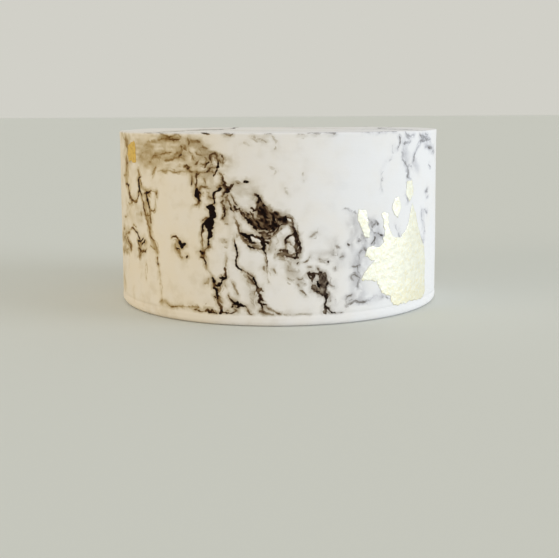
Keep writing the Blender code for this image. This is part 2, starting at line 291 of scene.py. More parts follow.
# ---------------------------------------------------------------------------------------------
# The marbling's layout
# A line is (darkness, widths along it in mm, places). Darkness 1 is black, 0.3 is faint, and 0
# wipes what is under it clean.
LINES = {
    "vein": (
        (0, (1, 1.3, 0.8), ((-3.4, 59.8), (-2.8, 58.6), (-2.4, 57.4))),
        (0, (0.8, 1), ((-6.5, 56.8), (-5.4, 55.9))),
        (0, (0.5, 0.7, 0.6), ((-5.9, 68.6), (-5.9, 66.4), (-6.6, 63.8))),
        (0, (1.2, 1.3), ((-7.6, 62.8), (-6.9, 60.8))),
        (0, (0.8, 1), ((-0.9, 60.4), (-0.5, 59))),
        (0.43, (1.4, 1.4), ((-3.3, 59.8), (-2.4, 57.6))),
        (0.48, (1, 1.2), ((-6.5, 56.8), (-5.4, 55.9))),
        (0.48, (0.8, 0.8), ((-5.9, 68.4), (-6.6, 63.8))),
        (0.53, (1.2, 1.2), ((-0.9, 60.4), (-0.5, 59))),
        (0.48, (0.8, 1), ((-18.3, 84), (-17.9, 78.6))),
        (0.77, (0.8, 1.6, 1.2), ((-17.8, 83.6), (-17.1, 79.4), (-17.3, 77.8))),
        (0.96, (1.4, 2.4, 2), ((-17.7, 78), (-16.8, 75.2), (-16.2, 74.4))),
        (0.77, (1.6, 1.8, 0.9), ((-17, 77), (-15.9, 75.9), (-14.3, 78.2))),
        (0.53, (1.4, 1), ((-18.6, 77.4), (-17.9, 78.2))),
        (0.91, (1.4, 0.8, 1, 1.1), ((-18.6, 76), (-20.2, 74), (-20.8, 72.4), (-20.6, 67.6))),
        (0.58, (0.5, 0.7), ((-20.1, 77), (-19, 76.2))),
        (0.67, (1, 0.9, 0.8), ((-17.2, 74.8), (-17.4, 73.2), (-18, 71.9), (-18.6, 72.2))),
        (0.58, (0.9, 1.1), ((-22.8, 71.6), (-22.1, 71))),
        (0.62, (0.8, 1), ((-21.5, 71), (-20.6, 71.2))),
        (0.34, (1.2, 0.8), ((-22.4, 73.6), (-23.2, 71.6))),
        (0.58, (0.9, 1.2, 0.9), ((-16.2, 72.2), (-16.5, 70.6), (-16.1, 69.2))),
        (0.77, (1.2, 1.3, 0.7), ((-15.9, 68.8), (-15.6, 67), (-14.2, 63.6))),
        (0.96, (0.9, 1.1), ((-15.4, 65), (-14.8, 64.9))),
        (0.62, (0.7, 0.6), ((-15.2, 72.6), (-13.2, 66.8))),
        (0.48, (0.4, 0.4), ((-14.6, 71.6), (-13.4, 67.8))),
        (0.91, (0.7, 0.9, 0.9), ((-14.4, 66.6), (-13.4, 65), (-12.6, 65.2))),
        (0.68, (0.8, 1.2, 1.6, 1), ((-17.8, 69.8), (-18, 68), (-17.3, 66.4), (-17.1, 64.6))),
        (0.72, (0.8, 1.6, 1), ((-17.1, 64.6), (-17, 60.6), (-17.6, 59.2))),
        (0.53, (0.9, 0.7), ((-17, 68.6), (-16.7, 68.2))),
        (0.82, (1.2, 1, 1), ((-22.8, 59.4), (-24.6, 55.4), (-24.7, 53.4))),
        (0.75, (1.2, 1.5, 1.1), ((-24.7, 53), (-25.2, 50.4), (-24.9, 46.6))),
        (0.53, (1, 1), ((-24.9, 46.4), (-24.9, 42))),
        (0.48, (1, 0.8), ((-24.8, 58.6), (-23.2, 60))),
        (0.85, (0.8, 1), ((-26, 40.6), (-24.4, 40.2))),
        (0.67, (1.2, 1.4, 1), ((-23.8, 41.8), (-24.5, 41.4), (-24.4, 39.6))),
        (0.53, (0.7, 0.7), ((-23.6, 42), (-22.8, 43.6))),
        (0.67, (1.4, 1.6), ((-22.7, 44), (-22.4, 43.2))),
        (0.43, (2.2, 2), ((-25.6, 39.6), (-24.9, 38.4))),
        (0.77, (0.7, 1.2, 1), ((-26, 37.4), (-25, 37.7), (-24.1, 35.8))),
        (0.96, (1, 1.3), ((-23.9, 36), (-24, 34.4))),
        (0.27, (0.7, 0.7), ((-23.9, 33.6), (-21.9, 26.8))),
        (0.91, (0.9, 1.5), ((-21.7, 26), (-20.8, 24.3))),
        (0.77, (1.2, 1.6, 1.2), ((-21, 23.8), (-20.8, 22.4), (-21, 21.4))),
        (0.96, (1.4, 1.8, 1.2), ((-20.2, 22.8), (-19.7, 23.2), (-19.1, 22.6))),
        (0.96, (0.8, 1), ((-19.2, 22.4), (-17.9, 26))),
        (0.96, (1.2, 1.7, 1.5), ((-19.1, 26.8), (-18.2, 26.6), (-16.9, 27.2))),
        (0.86, (1.3, 1.5, 1), ((-16.9, 27), (-17, 29), (-17, 32.2))),
        (0.35, (0.8, 1.3, 0.8), ((-17.1, 33), (-16.5, 37.2), (-16.7, 39.2))),
        (0.91, (1.2, 1.4, 1), ((-21.2, 21.2), (-20.4, 20.2), (-19.6, 15))),
        (0.43, (1.4, 1.6, 1.2), ((-20.2, 22), (-19.4, 20), (-18.9, 22))),
        (0.72, (1.4, 1.2), ((-19.7, 15.4), (-19.3, 11))),
        (0.38, (1.6, 1.2), ((-19.2, 15.2), (-18.3, 13.4))),
        (0.91, (1.2, 1.8, 1.8), ((-18.8, 11.6), (-18.7, 9.4), (-18.9, 6.2))),
        (0.82, (0.7, 1), ((-21, 16.8), (-20.5, 15.8))),
        (0.4, (1.4, 2.6, 1.4), ((-24.3, 23.4), (-23.8, 24), (-23.2, 24.8))),
        (0.48, (0.6, 0.9, 0.8), ((-40, 8.8), (-36.4, 7.5), (-32.8, 8.6), (-29.8, 9))),
        (0.48, (0.7, 0.9), ((-29.6, 9), (-26.8, 8.8))),
        (0.72, (0.6, 1, 0.9, 1.1, 1.2), (
            (-28.6, 7.5), (-24.9, 7), (-24.2, 8.4), (-23.2, 7.8), (-22.2, 8.4))),
        (0.86, (0.9, 1.1, 1), ((-23.4, 7.8), (-22.2, 6.9), (-20.3, 6.8))),
        (0.62, (0.8, 0.9), ((-21.6, 8.2), (-20.8, 7))),
        (0.77, (1, 0.8, 0.9), ((-18.4, 7.1), (-14.6, 7.1), (-13.6, 8))),
        (0.36, (1.2, 1), ((-17.8, 8.2), (-16.4, 8.2))),
        (0.48, (0.8, 0.9), ((-13.7, 8), (-14.6, 9.4))),
        (0.91, (1, 0.9), ((-14.3, 13.4), (-15.3, 10))),
        (0.48, (0.8, 0.8), ((-14.2, 12), (-14.2, 10.4))),
        (0.58, (0.8, 0.9, 1.1), ((-16.4, 17.9), (-15.7, 15.4), (-14.4, 13.5))),
        (0.58, (0.9, 1.1, 0.8), ((-10.4, 10.9), (-9.3, 7.3), (-8.4, 6.6))),
        (0.43, (0.9, 0.8), ((-13.5, 10.2), (-13.2, 8))),
        (0.43, (0.6, 1.2, 1.4), ((-15.3, 24.2), (-14.6, 23.2), (-13.4, 18.2))),
        (0.36, (0.8, 1.1), ((-17.9, 23.8), (-17.1, 22.4))),
        (0.13, (0.8, 0.8), ((-9.2, 22), (-8.9, 13))),
        (0.13, (0.7, 0.7), ((-8.3, 20), (-8.2, 11.6))),
        (0.34, (0.8, 1.2, 0.7), ((-18.6, 46.9), (-17.4, 47.4), (-16.2, 47.2))),
        (0.5, (0.9, 1.1, 0.8), ((-17.5, 43.9), (-16.9, 43.3), (-16.1, 44.2))),
        (0.34, (0.9, 1.1), ((-16.6, 57.2), (-16.2, 56.6))),
        (0.6, (0.8, 1.4, 1.1), ((-13.9, 61), (-13.2, 58.4), (-12.2, 52.6))),
        (0.34, (0.9, 0.7), ((-13.3, 51.6), (-13.4, 49))),
        (0.88, (0.8, 1.1, 1.2, 1.3, 0.8), (
            (-14.1, 47.8), (-14, 45.6), (-13, 40.8), (-13.4, 38.6), (-13.5, 36.6))),
        (0.96, (0.9, 1.3, 0.9), ((-13.5, 36.6), (-12.7, 33), (-12, 31.8))),
        (0.62, (0.6, 1), ((-11.6, 31.8), (-8.2, 27.6))),
        (0.86, (1, 1), ((-8.1, 27.5), (-6.9, 22.8))),
        (0.62, (0.6, 0.9), ((-9.8, 28), (-7.4, 23.6))),
        (0.29, (1.6, 2.4, 1.4), ((-11, 29), (-9.6, 26), (-8.4, 24))),
        (0.88, (1, 2.4, 2.2, 1.4), ((-6.9, 22.6), (-6.2, 18), (-6.1, 15.8), (-6.3, 14))),
        (0.38, (0.7, 1), ((-8, 18), (-6.8, 20.4))),
        (0.72, (1.2, 1.6, 0.9), ((-5.8, 17.8), (-5.6, 15.8), (-4.8, 14.8))),
        (0.96, (1, 1.4, 1.1), ((-6.2, 13.6), (-5.6, 12.6), (-5.2, 11.6))),
        (0.96, (0.8, 1.2, 0.9), ((-5, 13), (-4.6, 12.7), (-4.2, 12.3))),
        (0.82, (0.8, 0.9), ((-5.7, 21.6), (-5.3, 20.6))),
        (0.67, (0.7, 0.9), ((-5.1, 20), (-4.8, 19.5))),
        (0.48, (1, 1.6, 1), ((-5.3, 10.8), (-5.2, 9), (-5, 8))),
        (0.43, (1.2, 1.4, 0.8), ((-6, 8.8), (-4, 7.4), (-1.8, 7))),
        (0.4, (0.6, 0.8), ((-4.1, 11.8), (-3.2, 9.4))),
        (0.34, (0.7, 0.5), ((-0.2, 7.2), (3, 6.8), (10, 6.8))),
        (0.96, (1, 2.2, 2.2, 1.6, 0.9), (
            (-12.2, 52.4), (-10, 50.2), (-9, 49.2), (-8.7, 47.8), (-7.6, 46.6))),
        (0.94, (1.2, 1.1, 1.2), ((-9.2, 49.8), (-8.5, 50.9), (-5, 49.2))),
        (0.96, (1.2, 1.8, 1.6, 1.1), ((-6.4, 49), (-5.6, 47.4), (-4.8, 45.6), (-4.3, 40.6))),
        (0.84, (1, 0.7), ((-4.3, 40.6), (-3.5, 33.6))),
        (0.62, (1, 1.5, 1), ((-12.2, 52), (-11.6, 49.4), (-9.4, 44.8))),
        (0.96, (0.9, 1.3, 1.1), ((-9.3, 44.4), (-8.4, 43.7), (-7.3, 43))),
        (0.62, (0.9, 0.6), ((-9, 44), (-8.8, 42.4))),
        (0.58, (0.7, 1), ((-7.2, 43.8), (-4.7, 42.9))),
        (0.62, (1, 1.2), ((-8.6, 46.6), (-7.2, 46.2))),
        (0.91, (1.2, 1), ((-5.2, 49.4), (-4.6, 47.6))),
        (0.86, (0.9, 1.1), ((-4.6, 47.2), (-3.6, 46.8))),
        (0.86, (0.8, 1), ((-4.2, 48.8), (-3, 49))),
        (0.72, (1.1, 1), ((-5, 50), (-2.4, 50.4))),
        (0.7, (1, 1.3, 0.9), ((-5.8, 52.2), (-4.6, 51.8), (-3.6, 51.2))),
        (0.85, (0.9, 0.8), ((-3.6, 51.6), (-1.8, 53.4))),
        (0.33, (1.2, 1, 0.8), ((-3, 50), (-2.8, 46), (-3, 41))),
        (0.53, (0.9, 1.1), ((-4.9, 33.4), (-4.8, 31.8))),
        (0.21, (0.8, 1), ((-3.7, 32.6), (-3.1, 25))),
        (0.14, (0.7, 0.7), ((-0.6, 49), (-1.2, 38))),
        (1, (0.7, 1.2, 0.9), ((-10.8, 79.9), (-10.1, 80.1), (-9.5, 80))),
        (0.43, (0.7, 1.2, 0.8), ((-13.5, 80.4), (-12.6, 79.4), (-11.9, 79.6))),
        (0.55, (0.9, 1.2, 0.8), ((-3.6, 10.4), (-1.8, 8.4), (0.2, 7.4))),
        (0, (1, 1.8, 2, 1.2), ((-8.5, 50), (-7.8, 49.2), (-6.9, 48.2), (-5.9, 47.6))),
    ),
    "wing": (
        (0.85, (0.9, 1.3, 2.2, 2.2, 1.2), (
            (-12.4, 65), (-10.9, 61.8), (-10.1, 60), (-7.2, 55.6), (-5.2, 53.8))),
        (0.8, (1, 0.9), ((-8, 54.8), (-6.9, 53.6))),
        (0.78, (1.1, 1.3, 1.2), ((-7.6, 73), (-6.8, 72.3), (-5.2, 69.2))),
        (0.8, (1, 1.4, 1.5, 1.4), ((-8.2, 65.6), (-7.7, 64.4), (-7, 64.4), (-6.4, 68.6))),
        (0.8, (1.4, 1.4), ((-6.4, 68.6), (-5.8, 71))),
        (0.7, (1.4, 1.4), ((-5.6, 69.6), (-3.9, 66))),
        (0.8, (0.9, 1.3, 1), ((-5.4, 66.4), (-4.6, 65), (-3.8, 63.4))),
        (0.75, (1.2, 1.5, 1.1), ((-8.9, 63.4), (-8.2, 62.6), (-7.8, 61))),
        (0.67, (1.8, 2.4, 1.8), ((-3.4, 63.4), (-1.8, 62), (0, 62.2))),
        (0.8, (0.8, 1.2, 0.8), ((1.3, 57.3), (0.4, 56.2), (-1.7, 51.4))),
        (0.47, (0.8, 0.9), ((0.9, 54.4), (-1.8, 50.6))),
        (0.51, (1, 0.8, 0.9, 0.8), ((1.2, 57.2), (3, 56.8), (4, 55.4), (4.1, 52.6))),
        (0.8, (0.9, 2), ((4.2, 57), (5.3, 51.4))),
        (0.74, (0.9, 0.9, 0.9), ((2.6, 60), (3.7, 59.8), (4.3, 57.8))),
        (0.65, (0.7, 0.7), ((2.6, 57.6), (4.2, 57.4))),
        (0.33, (0.5, 0.5), ((5.9, 56.2), (5.9, 51))),
        (0.8, (1.2, 1.2, 1.9, 1.2), ((4.8, 51.8), (3.6, 50.9), (2, 48.2), (2.1, 46.4))),
        (0.33, (0.9, 0.7), ((2, 46.2), (1.8, 42.6))),
        (0.6, (1.4, 1.2, 1.1), ((2.6, 47.6), (4, 44.5), (5.3, 44.3))),
        (0.76, (1.6, 1.9, 1.4), ((5.6, 51), (5.7, 47.6), (5.6, 41.6))),
        (0.8, (0.9, 1, 1.3), ((6, 50.6), (6.7, 44), (5.5, 38))),
        (0.8, (1.2, 0.8), ((6.1, 37.8), (4.2, 38.2))),
        (0.6, (1.2, 1.6, 1.3), ((0.6, 42.2), (1.7, 42), (2.6, 41.2))),
        (0.65, (1.6, 2.8, 1.8, 0.9), ((0.2, 40), (2.9, 39.9), (4, 39.6), (5.2, 40.4))),
        (0.42, (0.9, 0.9), ((0, 39.4), (3.4, 38.6))),
        (0, (0.9, 0.9), ((2.9, 59), (3.6, 58.5))),
    ),
    "loops": (
        (0.51, (0.9, 1), ((-28.9, 83.4), (-28.4, 78.6))),
        (0.7, (1.6, 1, 1.2), ((-27.1, 84), (-26.8, 79), (-26.9, 75.6))),
        (0.74, (1.2, 0.8), ((-27, 83.4), (-25.8, 84))),
        (0.93, (1.6, 2.6, 2.2, 1.2), ((-27, 75.4), (-27, 73.8), (-26.7, 72), (-26.5, 70.4))),
        (0.88, (1.6, 1.4), ((-26.4, 73.6), (-25.8, 73.2))),
        (0.65, (1.4, 0.9), ((-26.6, 71), (-25.8, 69))),
        (0.42, (1.2, 1.2, 0.8), ((-26.4, 69), (-26.6, 67.4), (-27.8, 66.8))),
        (0.37, (0.9, 0.8), ((-26, 67), (-26.2, 65.8))),
        (0.51, (1.6, 1.6, 0.7), ((-25.6, 75.4), (-25.3, 76.6), (-22.6, 76.8))),
        (0.37, (0.8, 0.7), ((-23.2, 76.2), (-21.6, 75.8))),
        (0.33, (1.2, 0.8), ((-25.4, 73.4), (-24.4, 74))),
        (0.51, (0.9, 0.7), ((-24, 81.2), (-23.4, 78.6))),
        (0.7, (1, 1.2, 0.9, 0.8), ((-21.7, 91.6), (-21.6, 94.4), (-20.4, 94.8), (-19.4, 94.2))),
        (0.65, (0.8, 1), ((-19.6, 94.4), (-18.8, 91))),
        (0.6, (1, 0.9), ((-21.7, 92.6), (-21, 88.6))),
        (0.93, (1, 1.6, 1.4), ((-18.7, 91), (-18.9, 89), (-19.2, 87.6))),
        (0.47, (0.6, 0.6), ((-19.6, 87.4), (-22.4, 86.6))),
        (0.88, (1.2, 0.9), ((-19.3, 85.8), (-20.7, 83))),
        (0.7, (0.7, 1.1, 0.8), ((-18.2, 94.6), (-17.7, 93.8), (-17.3, 93))),
        (0.56, (0.8, 0.7), ((-17.2, 92.4), (-17.4, 88.6))),
        (0.47, (0.9, 0.8), ((-18.1, 91.8), (-17.9, 90))),
        (0.72, (0.8, 1.3, 0.9), ((-23.9, 87.6), (-23.1, 89), (-22.4, 90.4))),
        (0.51, (0.8, 0.9, 0.9), ((-25.6, 89), (-24.2, 89), (-23, 90))),
        (0.47, (0.7, 0.9), ((-23.2, 92.6), (-22.8, 90.6))),
        (0.6, (1.3, 0.8), ((-27, 89.4), (-26, 91.4))),
        (0.51, (1, 1), ((-28, 93.4), (-27.6, 91.4))),
        (0.56, (1.2, 1, 0.8), ((-22.2, 86.8), (-22.8, 85.4), (-24, 84.6))),
        (0.42, (0.6, 0.6), ((-22.2, 85.4), (-20.8, 84.6))),
        (0.47, (0.7, 1, 0.7), ((-26.4, 96), (-25.4, 95), (-24.4, 94))),
    ),
    "smoke_band": (
        (0.5, (0.7, 1.4, 1.3, 0.8), ((-42, 102.8), (-40, 103), (-35, 102.8), (-32.8, 103.6))),
        (0.4, (0.9, 1.1, 1.3, 1), ((-41.6, 105.6), (-39.4, 105.2), (-37.8, 104), (-36.4, 104.4))),
        (0.34, (0.8, 1.2, 0.9), ((-36.2, 104.6), (-34, 105.8), (-32.4, 104.6))),
        (0.46, (0.6, 1, 0.6), ((-41.6, 93.8), (-39, 95.2), (-37, 95.4))),
        (0.4, (1.4, 1.8, 1), ((-39.6, 90.6), (-38, 90.6), (-34, 92.8))),
        (0.41, (1.6, 2.2, 1.6, 1.2), ((-33.8, 93), (-33, 95), (-32.2, 97), (-32.8, 99.6))),
        (0.6, (1, 1.5), ((-33.4, 93.9), (-32.8, 94.3))),
        (0.46, (1.2, 2, 1.4), ((-31, 99.4), (-30.7, 97.8), (-30.4, 96.4))),
        (0.34, (1, 1.2, 0.8), ((-35.6, 93.6), (-34.4, 94.6), (-33.6, 95.6))),
        (0.3, (1, 1.2), ((-33, 92.8), (-31.4, 91.8))),
        (0.49, (1, 1, 0.8), ((-29.8, 103.6), (-29.2, 101.6), (-29.6, 100))),
        (0.46, (0.9, 1.2, 1.2), ((-29, 102), (-27, 102), (-25.2, 101.2))),
        (0.46, (0.9, 1.4), ((-24.6, 99.2), (-22.6, 98.2))),
        (0.41, (0.7, 0.9), ((-29.4, 95.4), (-27.8, 95.2))),
        (0.6, (0.8, 1.6, 1.4, 1), ((-31.8, 87.6), (-30.4, 88.2), (-29.4, 87.6), (-30.2, 86.8))),
        (0.49, (1.2, 1), ((-30, 87), (-28.8, 85.2))),
        (0.34, (0.7, 0.9), ((-33.6, 87.2), (-31.8, 87.6))),
        (0.32, (0.6, 0.7, 0.8, 0.8, 0.7), (
            (-43, 84.6), (-39, 85), (-35, 84.4), (-30, 84.9), (-24, 84.6))),
        (0.46, (0.8, 1), ((-40.8, 84.8), (-38.8, 84.8))),
        (0.5, (1.2, 1.2), ((-44.6, 86.8), (-46.2, 82.2))),
        (0.4, (1.2, 1.6, 1.6), ((-46, 92.2), (-44, 92.6), (-41.6, 92.2))),
        (0.34, (0.8, 1), ((-47.8, 89.4), (-46.6, 89.8))),
        (0.29, (1, 1.2), ((-48, 101.6), (-44, 101.8))),
        (0.35, (2.4, 3, 2.6, 2), ((-66, 102.6), (-65.4, 99.6), (-64.2, 97.4), (-63.8, 94.4))),
        (0.33, (2.2, 3, 2.8, 2.2), ((-65.6, 91.4), (-65.4, 88.6), (-65.4, 85.6), (-66, 82.6))),
        (0.3, (1, 1.4), ((-69.8, 80.2), (-66, 80))),
    ),
    "left_lines": (
        (0.62, (1.6, 1.2, 1.6), ((-66.8, 74.8), (-65, 74.9), (-63.4, 74.2))),
        (0.67, (1.6, 1.6), ((-65.2, 75), (-62.8, 69.8))),
        (0.62, (1.8, 2.2, 1.8), ((-63.4, 69.8), (-62.2, 68.2), (-61, 67.2))),
        (0.65, (1.1, 1.5, 0.9), ((-62.6, 67.4), (-61.6, 67.2), (-60.4, 67.4))),
        (0.62, (1.8, 2.2, 2), ((-60.6, 65.8), (-59, 65.6), (-57.4, 65.2))),
        (0.68, (1.6, 1.8, 1.5, 1.5), ((-57.6, 65.2), (-56, 66.2), (-55.2, 68), (-54.8, 70.4))),
        (0.84, (1.2, 1.6, 2.2, 1.4), ((-54.9, 71), (-54.3, 72.6), (-54.2, 74.4), (-54.9, 79))),
        (0.77, (1.4, 1.3, 1), ((-54.8, 78.6), (-54.3, 80.2), (-53.2, 80.2))),
        (0.58, (0.9, 1), ((-53.6, 79), (-52.2, 76.4))),
        (0.4, (1.4, 1.8), ((-54.6, 84), (-54.2, 81.6))),
        (0.72, (1.6, 1), ((-54, 73), (-52.7, 69.4))),
        (0.43, (0.8, 1), ((-52.6, 69), (-51.3, 64.4))),
        (0.63, (1.2, 1.1), ((-51.4, 64.4), (-50.8, 60))),
        (0.43, (1.4, 1.8, 1.4), ((-50.6, 59.6), (-49.8, 57.6), (-48.6, 51))),
        (0.58, (0.8, 0.9), ((-50, 58), (-48.4, 58.4))),
        (0.5, (1, 1.2, 1), ((-48.6, 51), (-48.2, 50), (-47.6, 50.4))),
        (0.38, (1, 1), ((-48.4, 50), (-47.4, 46.2))),
        (0.75, (1.1, 1.3, 0.8), ((-47.4, 46.2), (-46.5, 45), (-45.8, 44.4))),
        (0.36, (0.8, 0.9, 1), ((-45.8, 44.4), (-44.8, 41), (-44.2, 37))),
        (0.36, (0.8, 0.9), ((-47.6, 41), (-45.4, 38.6))),
        (0.69, (1, 1.6), ((-44.2, 34.6), (-43.9, 31))),
        (0.86, (0.9, 1.4, 1.2, 1), ((-51, 70.8), (-50, 70.9), (-48.6, 71), (-46.8, 72.8))),
        (0.38, (0.5, 0.5), ((-46.6, 72.4), (-44.2, 72.4))),
        (0.72, (0.9, 1.4, 1.2), ((-50, 70.4), (-49.2, 67.2), (-48.4, 65.4))),
        (0.67, (1.1, 1.1), ((-48.6, 65.2), (-47.9, 63.2))),
        (0.53, (0.9, 1.1), ((-48, 62.6), (-47, 54))),
        (0.53, (0.6, 1), ((-43.4, 74), (-43.8, 71.6))),
        (0.69, (1.2, 1), ((-43.8, 72.2), (-44, 69.2))),
        (0.36, (0.8, 0.8), ((-44.4, 68.6), (-44.6, 64))),
        (0.63, (1, 1.1, 1), ((-44.8, 63.2), (-45.1, 61.4), (-47, 61))),
        (0.53, (0.9, 1.1, 1), ((-65.6, 45.4), (-64, 46.2), (-62.6, 48.8))),
        (0.72, (1, 1.3, 1.2), ((-61.8, 49), (-60.2, 49.3), (-57.6, 47.6))),
        (0.91, (1.2, 1.3, 1.4, 1.2), ((-57.6, 47.4), (-56.4, 47.2), (-55.9, 45.2), (-55, 44))),
        (0.88, (1.2, 1.4, 1.2), ((-56.2, 42.4), (-54.4, 42.6), (-52.4, 44.4))),
        (0.88, (1, 1.3, 0.9), ((-53.6, 40.9), (-52.2, 42), (-50.9, 43.8))),
        (0.34, (0.7, 0.8), ((-51.6, 41.2), (-49.6, 43.6))),
        (0.58, (0.6, 1.2, 0.6), ((-60, 51.4), (-58.6, 51.2), (-57, 50.6))),
        (0.38, (1.4, 1.2), ((-68, 44), (-65.4, 45.4))),
        (0.56, (1.2, 2, 1.4), ((-66.8, 42), (-65, 40.6), (-61.8, 37.6))),
        (0.48, (1.2, 1.4), ((-63.4, 37), (-62.2, 36))),
        (0.56, (1.4, 2.2, 1.6), ((-55.6, 38), (-54, 37), (-52.4, 37.6))),
        (0.69, (1.1, 1.4, 0.8), ((-52, 37), (-51, 37.4), (-50.3, 38.6))),
        (0.4, (1.2, 1.6), ((-55, 36), (-54.8, 33.2))),
        (0.53, (1.2, 1), ((-56.2, 41.6), (-55, 39.6))),
        (0.43, (1, 1.2), ((-53.6, 60), (-53, 58.6))),
        (0.48, (1, 0.9, 1), ((-64.4, 64.2), (-62.4, 63.4), (-60.4, 64.2))),
        (0.24, (0.6, 0.5), ((-43.6, 30.6), (-42.6, 20), (-42.2, 11))),
        (0.23, (0.8, 0.8), ((-50.6, 30), (-50.9, 25), (-50.8, 21))),
        (0.34, (0.9, 0.9), ((-69.4, 54.6), (-65.6, 55))),
        (0.34, (1.2, 1.2), ((-73.6, 46.4), (-70, 46.8))),
    ),
    "rim": (
        (0.9, (0.8, 1.4, 0.8), ((-25.6, 107.6), (-23.6, 106.5), (-21.8, 105.7))),
        (0.5, (0.8, 1.2, 0.8), ((-17, 106.2), (-15.6, 105.3), (-14.2, 105.8))),
        (0.28, (0.6, 0.6), ((-4.4, 105.8), (-1.8, 105.8))),
        (0.28, (0.6, 0.8, 0.6), ((6.4, 105.5), (8.6, 105.3))),
        (0.36, (0.8, 1.4, 1.2, 1.8), ((9, 106.9), (12, 106.4), (15, 106.8), (18, 106.3))),
        (0.42, (0.6, 0.7, 0.7, 0.6), ((24, 107.2), (30, 106.8), (36, 107.1), (42, 106.8))),
        (0.45, (0.8, 1.4, 1.8, 1), ((-50, 107), (-44, 108.4), (-38, 110.4), (-32, 109.2), (-28, 107.2))),
        (0.3, (1.2, 1), ((-8.4, 105), (-6, 103.4), (-4, 101.5))),
    ),
    "comma": (
        (0.74, (0.6, 0.8, 1.2, 2), ((-37, 47.4), (-35.9, 48.2), (-34.6, 47.2), (-33.6, 45.4))),
        (1, (2.6, 3, 1.8), ((-33.6, 44.6), (-32.7, 43.4), (-31.8, 43.6))),
        (1, (1.6, 1.2), ((-33.2, 42.9), (-32.6, 42.1))),
        (0.55, (1.4, 2, 1.2), ((-35.6, 43.6), (-35.2, 41), (-34.2, 39.2))),
        (0.8, (0.8, 1), ((-34.8, 41.6), (-34, 41.2))),
        (0.35, (1.8, 2.2, 1.2), ((-34.6, 40), (-33.8, 38.4), (-32.4, 36.8))),
        (0.9, (0.7, 0.8), ((-30.8, 36.6), (-30.5, 36.5))),
    ),
    "ring_patch": (
        (0.82, (0.8, 1, 1.2, 1, 1.2), ((14.2, 29.6), (15, 28), (15.5, 25.6), (14.9, 20.2), (15.1, 17.4))),
        (0.85, (1.1, 1.2, 1, 1.4, 1.8, 1), (
            (9.4, 29.8), (9.1, 28.2), (9.6, 27), (10.4, 26.4), (10.7, 25))),
        (0.78, (1.6, 2, 1.6), ((10.1, 29), (10.6, 28), (10.6, 26.6))),
        (0.75, (1.4, 1.2, 1.6), ((10.6, 29), (11.4, 29.2), (12.4, 29), (13.3, 29.8))),
        (0.8, (0.8, 0.9), ((10.8, 20.6), (13, 19.2))),
        (0.8, (0.8, 1), ((13, 17.9), (14.2, 17.8))),
        (0.57, (0.7, 0.9), ((12.3, 33), (13.4, 30))),
        (0.77, (1.4, 1.6, 1.4), ((14.7, 17), (15.1, 15), (14.8, 11))),
        (0.84, (1.6, 2.4, 2.6, 1.4), ((14.9, 11), (15, 9.8), (14.9, 8.2), (15.2, 6.2))),
        (0.75, (1, 0.9, 0.8, 1), ((15.9, 9.6), (16.8, 7.4), (17.8, 6.4), (20.8, 6.2))),
        (0.75, (0.6, 0.8, 0.4), ((7.5, 35.8), (8.2, 36.1), (10, 38.6))),
        (0.4, (0.9, 0.8), ((9.2, 33.4), (10, 33))),
        (0.42, (0.5, 0.9), ((12.8, 37.2), (15.6, 35.6))),
        (0.85, (0.8, 1), ((15.5, 35.5), (16, 35.2))),
        (0.75, (0.8, 1), ((6, 35.6), (5.9, 34.8))),
        (0.4, (0.8, 1.1), ((3, 27.2), (4.6, 25.5))),
        (0.53, (0.7, 0.9, 0.6), ((6, 26.6), (7.4, 26.2), (7.8, 27.4))),
        (0.48, (0.9, 1.1), ((6.1, 24), (6.5, 23.2))),
        (0.62, (0.9, 1), ((7.6, 24.4), (7.9, 23.9))),
        (0.69, (0.7, 1.2), ((6.8, 20.8), (8.5, 17.9))),
        (0.48, (0.8, 0.7), ((16.7, 23.2), (17.9, 21.2))),
        (0.35, (0.7, 0.8), ((15.9, 18.8), (16.1, 16.8))),
        (0.51, (0.9, 1), ((16.7, 15), (16.7, 13.8))),
        (0.25, (1, 1.2), ((3, 36.4), (3.8, 35.4))),
        (0.26, (1.2, 1.2), ((2.8, 34), (3.4, 32.6))),
        (0.22, (0.9, 1), ((4.4, 35.6), (6, 35.4))),
        (0.19, (1.2, 1.2), ((3.2, 31), (6.8, 31))),
        (0.42, (0.9, 1), ((-1.8, 31.6), (-1, 30))),
        (0.31, (0.6, 0.7), ((12.6, 52.6), (10.2, 50))),
        (0.19, (0.8, 0.7), ((17.6, 42), (17.8, 39.8), (19.4, 39.2))),
        (0.37, (0.8, 1.2), ((20.2, 37.8), (20.8, 38.4))),
        (0.4, (1, 1.1), ((18, 32.6), (18.4, 31.8))),
        (0.25, (1, 1.2), ((18.6, 44.4), (19.4, 43.8))),
        (0.12, (0.8, 0.8), ((7.6, 84.5), (8, 80))),
        (0.12, (1, 1), ((2, 77), (3, 73))),
        (0.1, (1.4, 1.8), ((-10.4, 101), (-9.2, 100))),
        (0.1, (1.4, 2, 1.4), ((-1.6, 104), (-0.4, 101), (-1, 98))),
        (0.09, (1, 1.2, 1), ((-2.6, 88), (-0.8, 86.2), (-1.4, 84.2))),
    ),
    "right_smoke": (
        (0.75, (1.2, 1.1), ((22.6, 44.6), (23.1, 43.8))),
        (0.32, (1, 2, 1.4), ((26.6, 47.6), (27, 46.8), (26.8, 46))),
        (0.35, (1, 1.1), ((26.4, 38.8), (27.9, 40.8))),
        (0.15, (1.2, 1.4), ((26.6, 38.4), (26.7, 35.4))),
        (0.37, (1.2, 1.6, 1), ((28.5, 41.8), (28.8, 40.6), (29.2, 39.8))),
        (0.29, (1.4, 1.3), ((24.4, 31.8), (27.2, 32.4))),
        (0.32, (1, 1.3, 1.2), ((23.9, 26.6), (24.6, 27.6), (25.4, 27.2))),
        (0.29, (1.2, 1.5, 1), ((23.9, 26.6), (24.2, 25.2), (24.6, 24))),
        (0.26, (0.9, 1.4), ((25.4, 27), (27.2, 25.4))),
